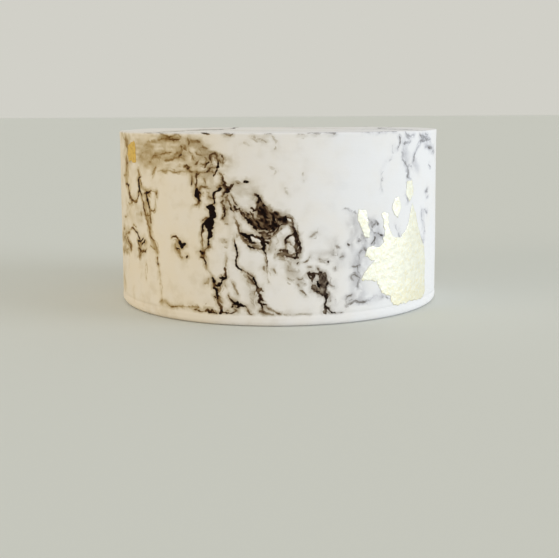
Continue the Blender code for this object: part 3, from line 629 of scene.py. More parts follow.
        (0.31, (1.4, 1.6, 0.9), ((27.1, 25), (26.8, 23.4), (26.2, 20))),
        (0.32, (0.8, 0.9), ((22.4, 15.2), (23.8, 16.3))),
        (0.26, (0.9, 1.2), ((23.4, 12.8), (23.9, 14))),
        (0.26, (1.2, 1.4, 1, 0.8), ((21.9, 9), (22.3, 10.6), (22, 12.6), (22.4, 14.6))),
        (0.37, (1.2, 1.5, 1.2, 1.5), ((22.4, 11), (23.6, 11), (26.2, 11.9), (29.4, 11.1))),
        (0.17, (1, 0.8), ((30, 12), (33.6, 14.6))),
        (0.32, (1, 1.3, 1), ((35.1, 30), (34.9, 28.6), (34.6, 26.8))),
        (0.39, (0.6, 0.8), ((36.3, 12.7), (37.8, 12.6), (39.2, 11.2))),
        (0.29, (0.7, 0.6), ((35.6, 17.6), (37.6, 16.2), (38.9, 14.3))),
        (0.16, (1, 1.6, 1.4), ((21.6, 64.4), (23.6, 63.4), (25.2, 62.4))),
        (0.31, (0.8, 1.1), ((29.8, 58.6), (30.2, 57.2))),
        (0.23, (1, 1), ((30.4, 55), (30.7, 51))),
        (0.41, (1.1, 1.3), ((31.3, 55.6), (31.8, 55.4))),
        (0.35, (0.8, 1), ((32.8, 56.8), (34.2, 54.6))),
        (0.26, (0.8, 1), ((32.8, 55), (32, 53))),
        (0.29, (1, 1.2, 0.8), ((31.8, 51.6), (32.2, 50.4), (33, 49.6))),
        (0.62, (0.8, 1.2), ((34, 49.2), (36, 47.8))),
        (0.41, (0.9, 0.9), ((36.1, 47.6), (35.8, 45.6))),
        (0.55, (0.8, 1, 0.7), ((32.7, 47.8), (32.7, 46.2), (31.4, 43.8))),
        (0.2, (0.8, 1, 0.9), ((27.6, 50), (28.4, 47.6), (30, 45.8))),
        (0.28, (0.7, 0.9), ((42.2, 53.6), (44.1, 45.8))),
        (0.22, (0.9, 1.1), ((47.4, 69), (48.2, 65.8))),
    ),
    "right_edge": (
        (0.57, (0.9, 1.4, 1.3, 0.8), ((43.3, 103.6), (43.8, 101.6), (43.7, 99), (42.6, 96.2))),
        (0.26, (2, 2.4), ((46.8, 104.8), (48, 103.4))),
        (0.19, (1.2, 1.4), ((48, 103.4), (52, 104.2))),
        (0.18, (1.4, 2), ((46, 99.4), (49, 100))),
        (0.28, (1.2, 2, 1.4), ((44.8, 95), (45.2, 93.4), (45, 91.6))),
        (0.28, (1.4, 1.8, 1.6), ((45.2, 90.4), (46.4, 88.4), (47.6, 86.4))),
        (0.26, (1.6, 2.2, 1.4), ((47.6, 85.4), (48.4, 82), (48, 80.4))),
        (0.14, (1.2, 1), ((48.4, 80), (50.4, 78.4))),
        (0.17, (1.4, 1.2), ((48.6, 86.4), (50.6, 86))),
        (0.26, (1.2, 1.2, 0.8), ((57.4, 100.4), (53.8, 95.6), (51.4, 88.6))),
        (0.42, (1.2, 1.6, 1.2), ((55.8, 104.4), (57, 103.6), (58.4, 102.8))),
        (0.29, (1.4, 1.8, 1.4), ((58.4, 102.8), (60.2, 101.6), (62, 100))),
        (0.29, (1, 1.2), ((60.6, 104.2), (62.6, 104.2))),
        (0.24, (1.6, 2.6, 2.2), ((57, 100.4), (61, 100.8), (65.4, 101))),
        (0.28, (1.6, 2.2, 1.4), ((60.6, 96.4), (64, 96.2), (68.6, 94.8))),
        (0.26, (0.8, 1.2, 0.8), ((68.6, 92.6), (70.4, 92.3), (72.6, 92.6))),
        (0.4, (0.8, 1.4, 0.9), ((63.6, 85.4), (64.9, 85.2), (66.6, 84.2))),
        (0.09, (0.4, 0.5, 0.5, 0.4), ((40, 91), (37, 89.4), (35.8, 86), (35.2, 82))),
        (0.13, (0.5, 0.6, 0.5), ((35.4, 81.4), (35.2, 76), (35.6, 73))),
        (0.09, (0.8, 1.2), ((40.2, 98), (40.4, 94))),
        (0.29, (1.6, 2.4, 1.4), ((61.8, 69.8), (62.8, 71), (63.8, 70.6))),
        (0.19, (1, 1.2), ((61.2, 69.4), (63, 69.2))),
        (0.17, (1.2, 1), ((62, 66), (64, 66.6))),
        (0.29, (0.9, 1.1), ((60.2, 59.3), (63.4, 57.6))),
        (0.15, (1, 1), ((58, 60), (58.6, 54), (60.2, 48), (60.8, 41))),
        (0.42, (1, 1.4), ((58.2, 42.4), (59.4, 39.6))),
    ),
}

# A blotch is (darkness, how uneven its darkness is, slant of its streaks, outline).
BLOTCHES = {
    "vein": (
        (1.00, 0.04, 80, (
            (-23.5, 66.6), (-22.6, 67.3), (-21.2, 67.2), (-20.6, 66.2), (-20.6, 64), (-20.1, 61.2),
            (-20.7, 59.8), (-20.6, 58), (-21, 55.6), (-21.4, 52.4), (-22, 51.4), (-22, 49.4),
            (-22.4, 47.8), (-22.6, 44.4), (-22.9, 43.4), (-23.2, 44.6), (-23.2, 46.4), (-22.9, 48.6),
            (-23.1, 52), (-23.7, 55.6), (-24.2, 56.6), (-22.8, 59), (-22.2, 60.6), (-22.7, 62),
            (-22.6, 64), (-23.3, 64.8))),
        (1.00, 0.05, -20, (
            (-14.3, 13.6), (-13.4, 14), (-12.6, 13.1), (-11.4, 12.5), (-10.3, 11.2), (-10.4, 10.6),
            (-11.6, 11), (-12.6, 11), (-13.2, 9.8), (-13.7, 10.1), (-13.6, 11.6), (-14.2, 12.2))),
        (0.42, 0.18, -30, (
            (-11.6, 50.6), (-9.6, 47.6), (-7.4, 46.2), (-5.6, 45.4), (-4.8, 43.6), (-7, 44),
            (-9.2, 45), (-10.6, 47.4))),
    ),
    "wing": (
        (0.6, 0.22, -45, (
            (-11, 63.2), (-9.8, 63.8), (-8.6, 62.6), (-7.4, 60.4), (-6.2, 60), (-6, 56.4),
            (-7.4, 55.6), (-9, 58), (-10.4, 60.8))),
        (0.6, 0.22, -30, (
            (-6.4, 64.6), (-6.2, 67.4), (-5.2, 69), (-4, 67), (-3.4, 64.6), (-1.4, 63.2),
            (0.4, 62.4), (1, 61.4), (2.2, 62.1), (2.8, 60.6), (2.6, 58.2), (0.8, 57.8),
            (-0.4, 55), (-1.6, 53.2), (-3.2, 53), (-4.6, 54), (-6.4, 54.6), (-6.6, 58),
            (-6.6, 62))),
        (0.83, 0.15, -50, (
            (-6.2, 63.6), (-5.4, 64.6), (-4.4, 63.8), (-3.4, 62.6), (-4, 60.6), (-3.8, 58.8),
            (-3.4, 57.4), (-2.6, 56.6), (-2, 58.6), (-2, 60.2), (-1.2, 60.8), (-1.2, 58.6),
            (-0.4, 57.4), (0.2, 56.2), (-0.8, 54.8), (-1.6, 53.4), (-3.2, 53.2), (-4.2, 54.2),
            (-5.2, 54), (-6.2, 55), (-5, 56.4), (-5.2, 57.8), (-6.2, 59.4), (-6.4, 61.6))),
        (0.58, 0.2, -35, (
            (-4.6, 68), (-4, 66), (-2.6, 65), (-0.8, 63.8), (0.4, 62.6), (0.2, 61), (-1.4, 60.8),
            (-2.6, 61.2), (-3.6, 62.6), (-4.6, 64.6), (-5.4, 66.6))),
        (0.64, 0.18, 20, (
            (0.2, 61.2), (1.2, 61.8), (2.2, 62), (2.8, 60.8), (2.5, 59.4), (2.6, 58), (1.6, 57.9),
            (0.4, 58), (-0.4, 59.4))),
    ),
    "ring_patch": (
        (0.72, 0.14, 70, (
            (12.6, 29.4), (13.4, 30.4), (14.6, 29.4), (15.4, 28), (15.8, 26), (15.6, 24), (15.1, 22),
            (15, 19.6), (15.3, 17.2), (14.6, 16.8), (13, 17.6), (11.8, 19.4), (10.2, 20.2),
            (10, 22.6), (10.4, 23.6), (11.6, 23), (12.6, 21.6), (13.4, 22), (13.3, 24), (12.8, 26),
            (12.7, 27.6))),
        (1.00, 0, 0, ((12.4, 24.9), (13.1, 25), (13.3, 23.8), (13.5, 22), (12.8, 21.8), (12, 23.2))),
    ),
}

# Smoke is (density, widths in mm, places).
SMOKE = {
    "vein": (
        (0.33, (10, 14), ((-14, 77), (-8.6, 72))),
        (0.33, (5, 7), ((-9, 24), (-8, 12))),
        (0.39, (7, 9), ((-22.6, 82), (-22, 74))),
        (0.5, (4, 6, 5), ((-17.4, 74), (-16.8, 66), (-17, 60))),
        (0.33, (5, 6, 5), ((-14.6, 63), (-14.4, 56), (-14.6, 49))),
        (0.28, (4, 5), ((-19.8, 14), (-18.4, 8))),
        (0.33, (5, 6), ((-5.4, 14), (-4.6, 8))),
        (0.28, (5, 6), ((-24.8, 46), (-24.8, 38))),
        (0.5, (2.5, 2.5, 2), ((-26, 75.5), (-24, 76.8), (-21.6, 76.2))),
    ),
    "wing": (
        (0.39, (6, 8), ((0.6, 52), (3, 44))),
        (0.28, (7, 9), ((-4, 52), (-3, 44))),
        (0.25, (2, 2.5), ((-3.6, 66.6), (0.6, 63.4))),
    ),
    "smoke_band": (
        (0.55, (12, 20, 22, 20, 12), ((-52, 93), (-42, 95), (-34, 96), (-27, 94), (-17, 90))),
        (0.48, (22, 28, 26), ((-69, 100), (-60, 95), (-50, 93))),
        (0.47, (8, 10, 8), ((-46, 104), (-36, 104), (-26, 101))),
        (0.41, (6, 8), ((-34, 86), (-22, 84))),
        (0.76, (7, 11, 10, 7), ((-66, 105), (-65, 96), (-65.4, 86), (-66, 76))),
        (0.32, (16, 22, 22, 14), ((-58, 94), (-45, 95), (-34, 95), (-25, 94))),
    ),
    "left_lines": (
        (1.00, (5, 9, 5), ((-55, 42), (-54.2, 37.6), (-55, 33))),
        (1.00, (8, 13, 6), ((-76, 41), (-69, 41), (-62.6, 38.6))),
        (0.75, (7, 9, 4), ((-76, 34), (-70, 34), (-63, 34))),
        (0.5, (10, 12), ((-74, 24), (-73, 12))),
        (0.75, (10, 14, 8), ((-66, 84), (-65, 78), (-63.4, 72))),
        (0.75, (4, 7, 6), ((-54.6, 80), (-53, 74), (-48, 70))),
        (0.81, (5, 7, 6, 4), ((-50, 70), (-49.2, 60), (-48, 50), (-44.6, 38))),
        (0.56, (4, 5), ((-42.4, 9.6), (-40.6, 10))),
        (0.5, (6, 6), ((-70, 47), (-64, 46))),
        (0.3, (12, 16, 12), ((-66, 62), (-58, 58), (-50, 60))),
    ),
    "ring_patch": (
        (0.35, (8, 9, 6), ((2, 38), (4, 32), (7, 26))),
        (0.25, (7, 9), ((17, 24), (17.6, 12))),
        (0.25, (7, 7), ((11, 40), (17, 40))),
    ),
    "right_smoke": (
        (0.36, (10, 14, 14, 12), ((24, 58), (26.4, 46), (26.6, 32), (26.6, 18))),
        (0.32, (9, 12), ((32.4, 56), (34, 46))),
        (0.23, (7, 9), ((36, 14), (28, 14))),
        (0.17, (10, 12), ((18, 46), (20, 36))),
        (0.28, (5, 6), ((25, 27), (26.4, 21))),
    ),
    "right_edge": (
        (0.28, (7, 6), ((46, 104), (46.8, 88))),
        (0.35, (8, 10, 8), ((58, 103), (63, 99), (70, 94))),
        (0.3, (6, 7), ((59, 58), (60, 42))),
        (0.18, (10, 10), ((50, 92), (54, 84))),
    ),
}

# Where each group goes: (group, turn that its own zero goes to, 1 or -1 to mirror it, lift in mm).
# The first ones are the front, and the others carry the same hand on round the back.
PLACED = (
    ("vein", 0, 1, 0), ("wing", 0, 1, 0), ("loops", 0, 1, 0), ("smoke_band", 0, 1, 0),
    ("left_lines", 0, 1, 0), ("comma", 0, 1, 0), ("rim", 0, 1, 0), ("ring_patch", 0, 1, 0),
    ("right_smoke", 0, 1, 0), ("right_edge", 0, 1, 0),
    ("left_lines", 58, -1, 3), ("vein", 163, -1, -1), ("wing", 163, -1, -1), ("loops", 163, -1, -1),
    ("smoke_band", 158, -1, 0), ("ring_patch", 206, 1, 4), ("left_lines", 189, -1, -9),
    ("comma", 232, -1, 22), ("right_smoke", 74, 1, 2), ("right_edge", 180, 1, -2),
)

# The top: the same kinds of line, with places given as (turn, distance from the middle)
TOP_LINES = (
    (0.8, (1, 1.6, 1.2, 2.2, 1.4, 0.9), (
        (-44, 99), (-52, 84), (-70, 66), (-96, 52), (-128, 50), (-150, 62), (-158, 84), (-163, 99))),
    (0.6, (0.8, 1.2, 0.8), ((-70, 66), (-60, 46), (-40, 30), (-8, 26))),
    (0.9, (1.2, 2, 1), ((-96, 52), (-100, 36), (-84, 22))),
    (0.45, (0.8, 0.9), ((-8, 26), (22, 34), (36, 50))),
    (0.7, (0.9, 1.3, 0.9, 1.4), ((62, 99), (72, 84), (88, 72), (104, 70), (120, 80), (126, 99))),
    (0.4, (0.8, 1), ((88, 72), (84, 54), (62, 40))),
    (0.5, (0.8, 1), ((104, 70), (126, 56), (156, 50), (170, 62))),
    (0.45, (0.9, 0.7), ((-20, 98), (-14, 92), (-4, 94))),
    (0.55, (0.7, 1, 0.7), ((6, 97), (14, 93), (22, 97))),
    (0.6, (0.9, 1.2), ((-36, 96), (-28, 94), (-23, 98))),
    (0.5, (0.9, 1.1, 0.8), ((150, 96), (162, 92), (172, 95), (184, 92))),
    (0.5, (0.8, 1.2, 0.8), ((136, 93), (144, 97), (152, 94))),
)
TOP_BLOTCHES = (
    (0.66, 0.26, 30, (
        (-131, 50), (-123, 54), (-115, 58), (-109, 54), (-103, 57), (-97, 54), (-99, 49),
        (-106, 49), (-112, 43), (-118, 47), (-126, 45))),
)
TOP_SMOKE = (
    # The first is a dark band round the back of the top, just inside the rim
    (0.9, (3, 7, 9, 6, 8, 3), ((124, 93), (140, 95), (160, 94), (182, 95), (206, 94), (232, 95))),
    (0.55, (16, 26, 24, 16), ((-60, 78), (-86, 58), (-122, 56), (-156, 80))),
    (0.45, (12, 20, 14), ((66, 88), (92, 72), (122, 84))),
    (0.4, (10, 16), ((-60, 46), (-10, 28))),
    (0.35, (12, 16), ((128, 56), (166, 58))),
)

# Each flake's outline on the wall: (turn, height)
FLAKES = {
    "gold_leaf_patch": (
        (51.2, 64.5), (53.4, 59), (55.2, 51), (57.4, 43), (60.4, 37), (61.6, 28),
        (60.8, 19), (61.6, 10), (60, 6.9), (50, 7.6), (41.2, 6.9), (39.6, 12.5),
        (35.6, 15.8), (33.6, 22.5), (30.8, 23.2), (27.6, 23.8), (29, 28.8), (31.2, 32),
        (32.6, 34.2), (30.6, 35.2), (28.8, 37), (29.6, 41.4), (33.4, 41.6), (36.4, 43.6),
        (37, 50), (35.4, 60.2), (38.4, 60.6), (38.8, 52), (41, 46.4), (45, 45.6),
        (47.6, 50), (49.4, 56.5)),
    "gold_leaf_slender": (
        (26.4, 64), (29.4, 62.6), (30, 55), (30.4, 47.2), (28.6, 48.4), (27, 54),
        (25.8, 59)),
    "gold_leaf_diamond": (
        (41.4, 68.4), (43.8, 68.8), (44.9, 63), (43.2, 57), (41.2, 59.4), (40.2, 63.4)),
    "gold_leaf_upper": (
        (47.8, 77.4), (50.6, 78), (51.8, 74), (51.9, 69), (49.2, 65.4), (47.5, 70)),
    "gold_leaf_left": (
        (-63.2, 97.8), (-60, 100.2), (-57.8, 101.2), (-56.6, 99), (-56.4, 88.6), (-58.4, 88.2),
        (-60.6, 89.6), (-62.6, 87.6), (-64, 92.6)),
}


# ---------------------------------------------------------------------------------------------
# Noise
def smooth_step(value, low, high):
    share = np.clip((value - low) / (high - low), 0, 1)
    return share * share * (3 - 2 * share)


def noise(shape, wavelength, seed, rough=2.0, stretch=1.0):
    """A random field that repeats at its edges, with a mean of 0 and a spread of 1.

    Its bumps are about a wavelength apart, and stretch times as long sideways. A lower rough adds
    finer bumps on top of them."""
    spectrum = np.fft.rfft2(np.random.default_rng(seed).standard_normal(shape))
    across = np.fft.rfftfreq(shape[1], STEP)[None, :] * stretch
    along = np.fft.fftfreq(shape[0], STEP)[:, None]
    pace = (across ** 2 + along ** 2) * wavelength ** 2
    field = np.fft.irfft2(spectrum * (pace > 0) * (1 + pace) ** -rough, shape)
    return (field / field.std()).astype(np.float32)


def sample(field, col, row, wraps_cols=True, wraps_rows=True):
    """The field's values between its cells."""
    rows, cols = field.shape
    if not wraps_cols:
        col = np.clip(col, 0, cols - END_CELL)
    if not wraps_rows:
        row = np.clip(row, 0, rows - END_CELL)
    left, low = np.floor(col).astype(int), np.floor(row).astype(int)
    part, rise = col - left, row - low
    right, high = (left + 1) % cols, (low + 1) % rows
    left, low = left % cols, low % rows
    return ((field[low, left] * (1 - part) + field[low, right] * part) * (1 - rise)
            + (field[high, left] * (1 - part) + field[high, right] * part) * rise)


class Grain:
    """A repeating tile of noise, read at any place in mm."""

    def __init__(self, wavelength, seed, rough=2.0, stretch=1.0):
        self.field = noise((TILE, TILE), wavelength, seed, rough, stretch)
        self.steep = np.hypot(*np.gradient(self.field, STEP)) + FLATTEST_NOISE

    def read(self, x, y):
        return sample(self.field, x / STEP, y / STEP)

    def from_crest(self, x, y):
        """About how far a place is from the nearest line where the noise crosses 0, in mm."""
        return np.abs(self.read(x, y)) / sample(self.steep, x / STEP, y / STEP)


# Each is (wavelength, seed, rough, stretch)
STREAKS = Grain(2.0, 1, 1.5, 5.0)
EDGES = Grain(1.4, 2, 1.5)
WANDER = Grain(7.0, 3, 2.2)
CLOUDS = Grain(7.0, 4, 1.5, 1.6)
CURLS = Grain(6.0, 5, 2.2, 2.2)
CRINKLES = Grain(1.7, 6, 1.7)


def smooth_path(places):
    """Points on a smooth curve through the places (Catmull-Rom), about PATH_SPACING apart."""
    knots = np.array(places, float)
    knots = np.vstack([2 * knots[0] - knots[1], knots, 2 * knots[-1] - knots[-2]])
    path = [knots[1]]
    for before, start, end, after in zip(knots, knots[1:], knots[2:], knots[3:]):
        count = max(1, round(np.hypot(*(end - start)) / PATH_SPACING))
        for share in np.arange(1, count + 1) / count:
            path.append(0.5 * (2 * start + (end - before) * share
                               + (2 * before - 5 * start + 4 * end - after) * share ** 2
                               + (3 * start - before - 3 * end + after) * share ** 3))
    return np.array(path)


# The cells round a brush path: their index, how far they lie off the path and along it, on which
# side of it, and the path's half width there. length is the path's own.
Stroke = namedtuple("Stroke", "index away along side half length")


class Sheet:
    """A flat sheet of masks for the marbling, in mm.

    line is 0.5 at a mark's edge and grows inwards, dark is how black a mark is, and wash is the
    strength of the soft stain. swell is the icing's bumps. Places are read through a small random
    warp, so that no edge is smooth."""

    def __init__(self, low, shape, wraps, seed):
        self.low = low
        self.shape = shape
        self.wraps = wraps
        across = low[0] + STEP * np.arange(shape[1], dtype=np.float32)
        up = low[1] + STEP * np.arange(shape[0], dtype=np.float32)
        self.u, self.v = np.meshgrid(across, up)
        for number, (wavelength, reach) in enumerate(WARPS):
            self.u = self.u + reach * noise(shape, wavelength, seed + 2 * number, WARP_ROUGH)
            self.v = self.v + reach * noise(shape, wavelength, seed + 2 * number + 1, WARP_ROUGH)
        self.up = up[:, None]
        self.line = np.zeros(shape, np.float32)
        self.dark = np.full(shape, PLAIN_DARK, np.float32)
        self.wash = np.zeros(shape, np.float32)
        bumps = BUMPS[0] * noise(shape, BUMPS[1], seed + SWELL_SEED)
        scrapes = SCRAPES[0] * noise(shape, SCRAPES[1], seed + SWELL_SEED + 1, stretch=SCRAPE_STRETCH)
        self.swell = np.clip(-SUNK + bumps + scrapes, -SUNK_MOST, 0)

    def read(self, field, across, up):
        col, row = (across - self.low[0]) / STEP, (up - self.low[1]) / STEP
        return sample(field, col, row, self.wraps, False)

    def window(self, low, high):
        """The index of the cells that cover a box, and the warped places of those cells."""
        first = np.floor((np.array(low) - self.low) / STEP).astype(int)
        last = np.ceil((np.array(high) - self.low) / STEP).astype(int) + 1
        rows = np.arange(max(first[1], 0), min(last[1], self.shape[0]))
        cols = np.arange(first[0], last[0])
        if not self.wraps:
            cols = cols[(cols >= 0) & (cols < self.shape[1])]
        index = np.ix_(rows, cols % self.shape[1])
        laps = (cols // self.shape[1]) * self.shape[1] * STEP
        return index, self.u[index] + laps, self.v[index]

    def lay(self, index, inset, dark):
        """Lays a mark, given how far inside its edge each cell is. The denser mark wins."""
        new = np.clip(0.5 + inset / EDGE_FADE, 0, 1)
        better = new * dark > self.line[index] * self.dark[index]
        self.line[index] = np.where(better, new, self.line[index])
        self.dark[index] = np.where(better, dark, self.dark[index])

    def trace(self, places, widths, reach):
        """The stroke that a brush makes along the places, with the cells up to reach beside it."""
        path = smooth_path(places)
        steps = np.hypot(*np.diff(path, axis=0).T)
        begins = np.append(0, np.cumsum(steps))
        half = np.interp(begins / begins[-1], np.linspace(0, 1, len(widths)), widths) / 2
        margin = half.max() + reach
        index, u, v = self.window(path.min(0) - margin, path.max(0) + margin)
        away = np.full(u.shape, FAR_AWAY)
        along, side, width = np.zeros(u.shape), np.zeros(u.shape), np.full(u.shape, half[0])
        for number, (start, end) in enumerate(zip(path, path[1:])):
            near = ((u > min(start[0], end[0]) - margin) & (u < max(start[0], end[0]) + margin)
                    & (v > min(start[1], end[1]) - margin) & (v < max(start[1], end[1]) + margin))
            x, y = u[near] - start[0], v[near] - start[1]
            way = (end - start) / max(steps[number], TINY)
            raw = x * way[0] + y * way[1]
            share = np.clip(raw, 0, steps[number])
            gap = np.hypot(x - share * way[0], y - share * way[1])
            closer = gap < away[near]
            spot = tuple(axis[closer] for axis in np.nonzero(near))
            away[spot] = gap[closer]
            along[spot] = begins[number] + raw[closer]
            side[spot] = (y * way[0] - x * way[1])[closer]
            width[spot] = (half[number] + (half[number + 1] - half[number])
                           * share / max(steps[number], TINY))[closer]
        return Stroke(index, away, along, side, width, begins[-1])

    def wipe(self, widths, places):
        """Takes a brush line's width away from the marks under it."""
        stroke = self.trace(places, widths, FRINGE)
        inset = stroke.half - stroke.away
        left = np.clip(0.5 - inset / EDGE_FADE, 0, 1)
        self.line[stroke.index] = np.minimum(self.line[stroke.index], left)
        self.wash[stroke.index] *= 1 - smooth_step(inset, -WIPE_EDGE, WIPE_EDGE)

    def brush(self, dark, widths, places, seed):
        """A brush line: a rough body with a stain round it, threads beside it, and whiskers."""
        draw = np.random.default_rng(seed)
        shift = draw.uniform(0, SHIFT_MOST, 2)
        stroke = self.trace(places, widths, FRINGE)
        self.lay_body(stroke, dark, shift)
        beside = (stroke.along > 0) & (stroke.along < stroke.length) & (stroke.away < FRINGE)
        for number in range(THREADS):
            offset = draw.uniform(-THREAD_OFFSET, THREAD_OFFSET)
            self.lay_thread(stroke, beside, dark, shift, offset, number)
        for _ in range(round(stroke.length / WHISKER_SPACING)):
            self.lay_whisker(stroke, beside, dark, draw)

    def lay_body(self, stroke, dark, shift):
        along, side, half = stroke.along, stroke.side, stroke.half * LINE_WEIGHT
        streak = STREAKS.read(along + shift[0], side + shift[1])
        edge = EDGES.read(along + shift[0], np.sign(side) * OTHER_SIDE + shift[1])
        rough = np.clip(1 + LINE_ROUGHNESS * edge, *LINE_ROUGHNESS_LIMITS)
        lumps = EDGES.read(along * LINE_LUMP_SCALE + shift[1], side * LINE_LUMP_SCALE + shift[0])
        uneven = np.clip(dark + LINE_STREAKS * streak + LINE_LUMPS * lumps, *DARK_LIMITS)
        self.lay(stroke.index, half * rough - stroke.away, uneven)
        halo = HALO_REACH * (HALO_FOR_WIDTH[0] + HALO_FOR_WIDTH[1] * half)
        fade = np.exp(-(np.maximum(stroke.away - half, 0) / halo) ** 2)
        streaky = np.clip(STAIN_STREAKS[0] + STAIN_STREAKS[1] * streak, *STAIN_LIMITS)
        self.wash[stroke.index] += STAIN * min(1, STAIN_FOR_DARK * dark) * fade * streaky

    def lay_thread(self, stroke, beside, dark, shift, offset, number):
        """A thin line that wanders along beside the stroke and comes and goes."""
        row = THREAD_ROW * number
        middle = offset + THREAD_SWING * WANDER.read(stroke.along + shift[1], row)
        gate = WANDER.read(stroke.along + shift[0], row + THREAD_GATE_ROW)
        width = THREAD_WIDTH[0] + THREAD_WIDTH[1] * np.clip(gate, 0, THREAD_WIDTH_MOST)
        width = np.where(beside & (gate > THREAD_GATE), width, -EDGE_FADE)
        inset = width - np.abs(stroke.side - middle)
        self.lay(stroke.index, inset, THREAD_DARK[0] + THREAD_DARK[1] * dark)

    def lay_whisker(self, stroke, beside, dark, draw):
        """A short hair that leaves the stroke's middle at a slant and thins out."""
        start, reach = draw.uniform(0, stroke.length), draw.uniform(*WHISKER_LENGTHS)
        lean = draw.choice((-1, 1)) * draw.uniform(*WHISKER_LEANS)
        share = (stroke.along - start) / (reach * draw.choice((-1, 1)))
        there = beside & (share > 0) & (share < 1)
        width = np.where(there, WHISKER_WIDTH * (1 - share), -EDGE_FADE)
        inset = width - np.abs(stroke.side - lean * share * reach)
        self.lay(stroke.index, inset, WHISKER_DARK[0] + WHISKER_DARK[1] * dark)

    def blotch(self, dark, uneven, slant, outline):
        """A filled shape whose darkness is streaky along its slant, in degrees."""
        corners = np.array(outline, float)
        margin = EDGE_FADE + 2 * HALO_REACH
        index, u, v = self.window(corners.min(0) - margin, corners.max(0) + margin)
        inset = inside_outline(corners, u, v) + BLOTCH_ROUGHNESS * EDGES.read(u, v)
        cos, sin = math.cos(math.radians(slant)), math.sin(math.radians(slant))
        streak = STREAKS.read((u * cos + v * sin) * BLOTCH_STREAK_SCALE,
                              (v * cos - u * sin) * BLOTCH_STREAK_SCALE)
        lumps = EDGES.read(u * BLOTCH_LUMP_SCALE, v * BLOTCH_LUMP_SCALE)
        self.lay(index, inset, np.clip(dark + uneven * (streak + BLOTCH_LUMPS * lumps), *DARK_LIMITS))
        self.wash[index] += STAIN * np.exp(-(np.maximum(-inset, 0) / HALO_REACH) ** 2)

    def smoke(self, density, widths, places, seed):
        """A wide soft stroke, streaky along its path, with hairlines in the thick of it."""
        draw = np.random.default_rng(seed)
        shift = draw.uniform(0, SHIFT_MOST, 2)
        index, away, along, side, half, _ = self.trace(places, widths, 0)
        body = 1 - np.clip(away / half, 0, 1) ** 2
        flow = STREAKS.read(along + shift[0], side + shift[1])
        lumps = CLOUDS.read(along + shift[1], side + shift[0])
        thick = np.clip(SMOKE_MEAN + SMOKE_STREAKS * flow + SMOKE_LUMPS * lumps, 0, SMOKE_MOST)
        strength = density * body * thick
        self.wash[index] += strength
        breaks = HAIR_BREAKS * EDGES.read(along * HAIR_BREAK_SCALE, side * HAIR_BREAK_SCALE)
        gate = smooth_step(strength + breaks, *HAIR_DENSITIES)
        crest = CURLS.from_crest(along + shift[0], side + shift[1])
        inset = np.where(gate > 0, HAIR_WIDTH * gate - HAIR_LEAST - crest, -EDGE_FADE)
        self.lay(index, inset, np.clip(HAIR_DARK[0] + HAIR_DARK[1] * lumps, *HAIR_DARK_LIMITS))


def inside_outline(corners, u, v):
    """How far each place lies inside the outline, or outside it as less than 0, in mm."""
    near = np.full(u.shape, FAR_AWAY)
    inside = np.zeros(u.shape, bool)
    for start, end in zip(corners, np.roll(corners, -1, 0)):
        side = end - start
        x, y = u - start[0], v - start[1]
        share = np.clip((x * side[0] + y * side[1]) / (side @ side), 0, 1)
        near = np.minimum(near, np.hypot(x - share * side[0], y - share * side[1]))
        rise = side[1] if side[1] else TINY
        inside ^= ((start[1] > v) != (end[1] > v)) & (x < y * side[0] / rise)
    return np.where(inside, near, -near)


def wall_place(turn, height, zero=0, side=1, lift=0):
    return math.radians(zero + side * turn) * RADIUS, height + lift


def top_place(turn, reach):
    return reach * math.sin(math.radians(turn)), -reach * math.cos(math.radians(turn))


def paint(sheet, smokes, blotches, lines, place, side, seed):
    """Lays one group of marks. place turns their places into mm, and side is -1 to mirror them."""
    for density, widths, places in smokes:
        seed += 1
        sheet.smoke(density, widths, [place(*spot) for spot in places], seed)
    for dark, uneven, slant, outline in blotches:
        sheet.blotch(dark, uneven, slant * side, [place(*spot) for spot in outline])
    for dark, widths, places in lines:
        if dark:
            seed += 1
            sheet.brush(dark, widths, [place(*spot) for spot in places], seed)
        else:
            sheet.wipe(widths, [place(*spot) for spot in places])


def paint_wall():
    rows = round((HEIGHT + OVER_RIM + BELOW_FOOT) / STEP)
    cols = round(math.tau * RADIUS / STEP)
    sheet = Sheet((-math.pi * RADIUS, -BELOW_FOOT), (rows, cols), True, WALL_SEED)
    for number, (group, zero, side, lift) in enumerate(PLACED):
        place = partial(wall_place, zero=zero, side=side, lift=lift)
        marks = SMOKE.get(group, ()), BLOTCHES.get(group, ()), LINES.get(group, ())
        paint(sheet, *marks, place, side, GROUP_SEEDS * number)
    clear_foot = smooth_step(sheet.up, *CLEAN_FOOT)
    sheet.line *= clear_foot
    sheet.wash = soft_limit(sheet.wash * (FOOT_STAIN + (1 - FOOT_STAIN) * clear_foot))
    return sheet


def paint_top():
    half = RADIUS + TOP_MARGIN
    count = round(2 * half / STEP)
    sheet = Sheet((-half, -half), (count, count), False, TOP_SEED)
    paint(sheet, TOP_SMOKE, TOP_BLOTCHES, TOP_LINES, top_place, 1, TOP_MARKS_SEED)
    sheet.wash = soft_limit(sheet.wash)
    return sheet


def soft_limit(wash):
    return WASH_MOST * (1 - np.exp(-wash / WASH_MOST))


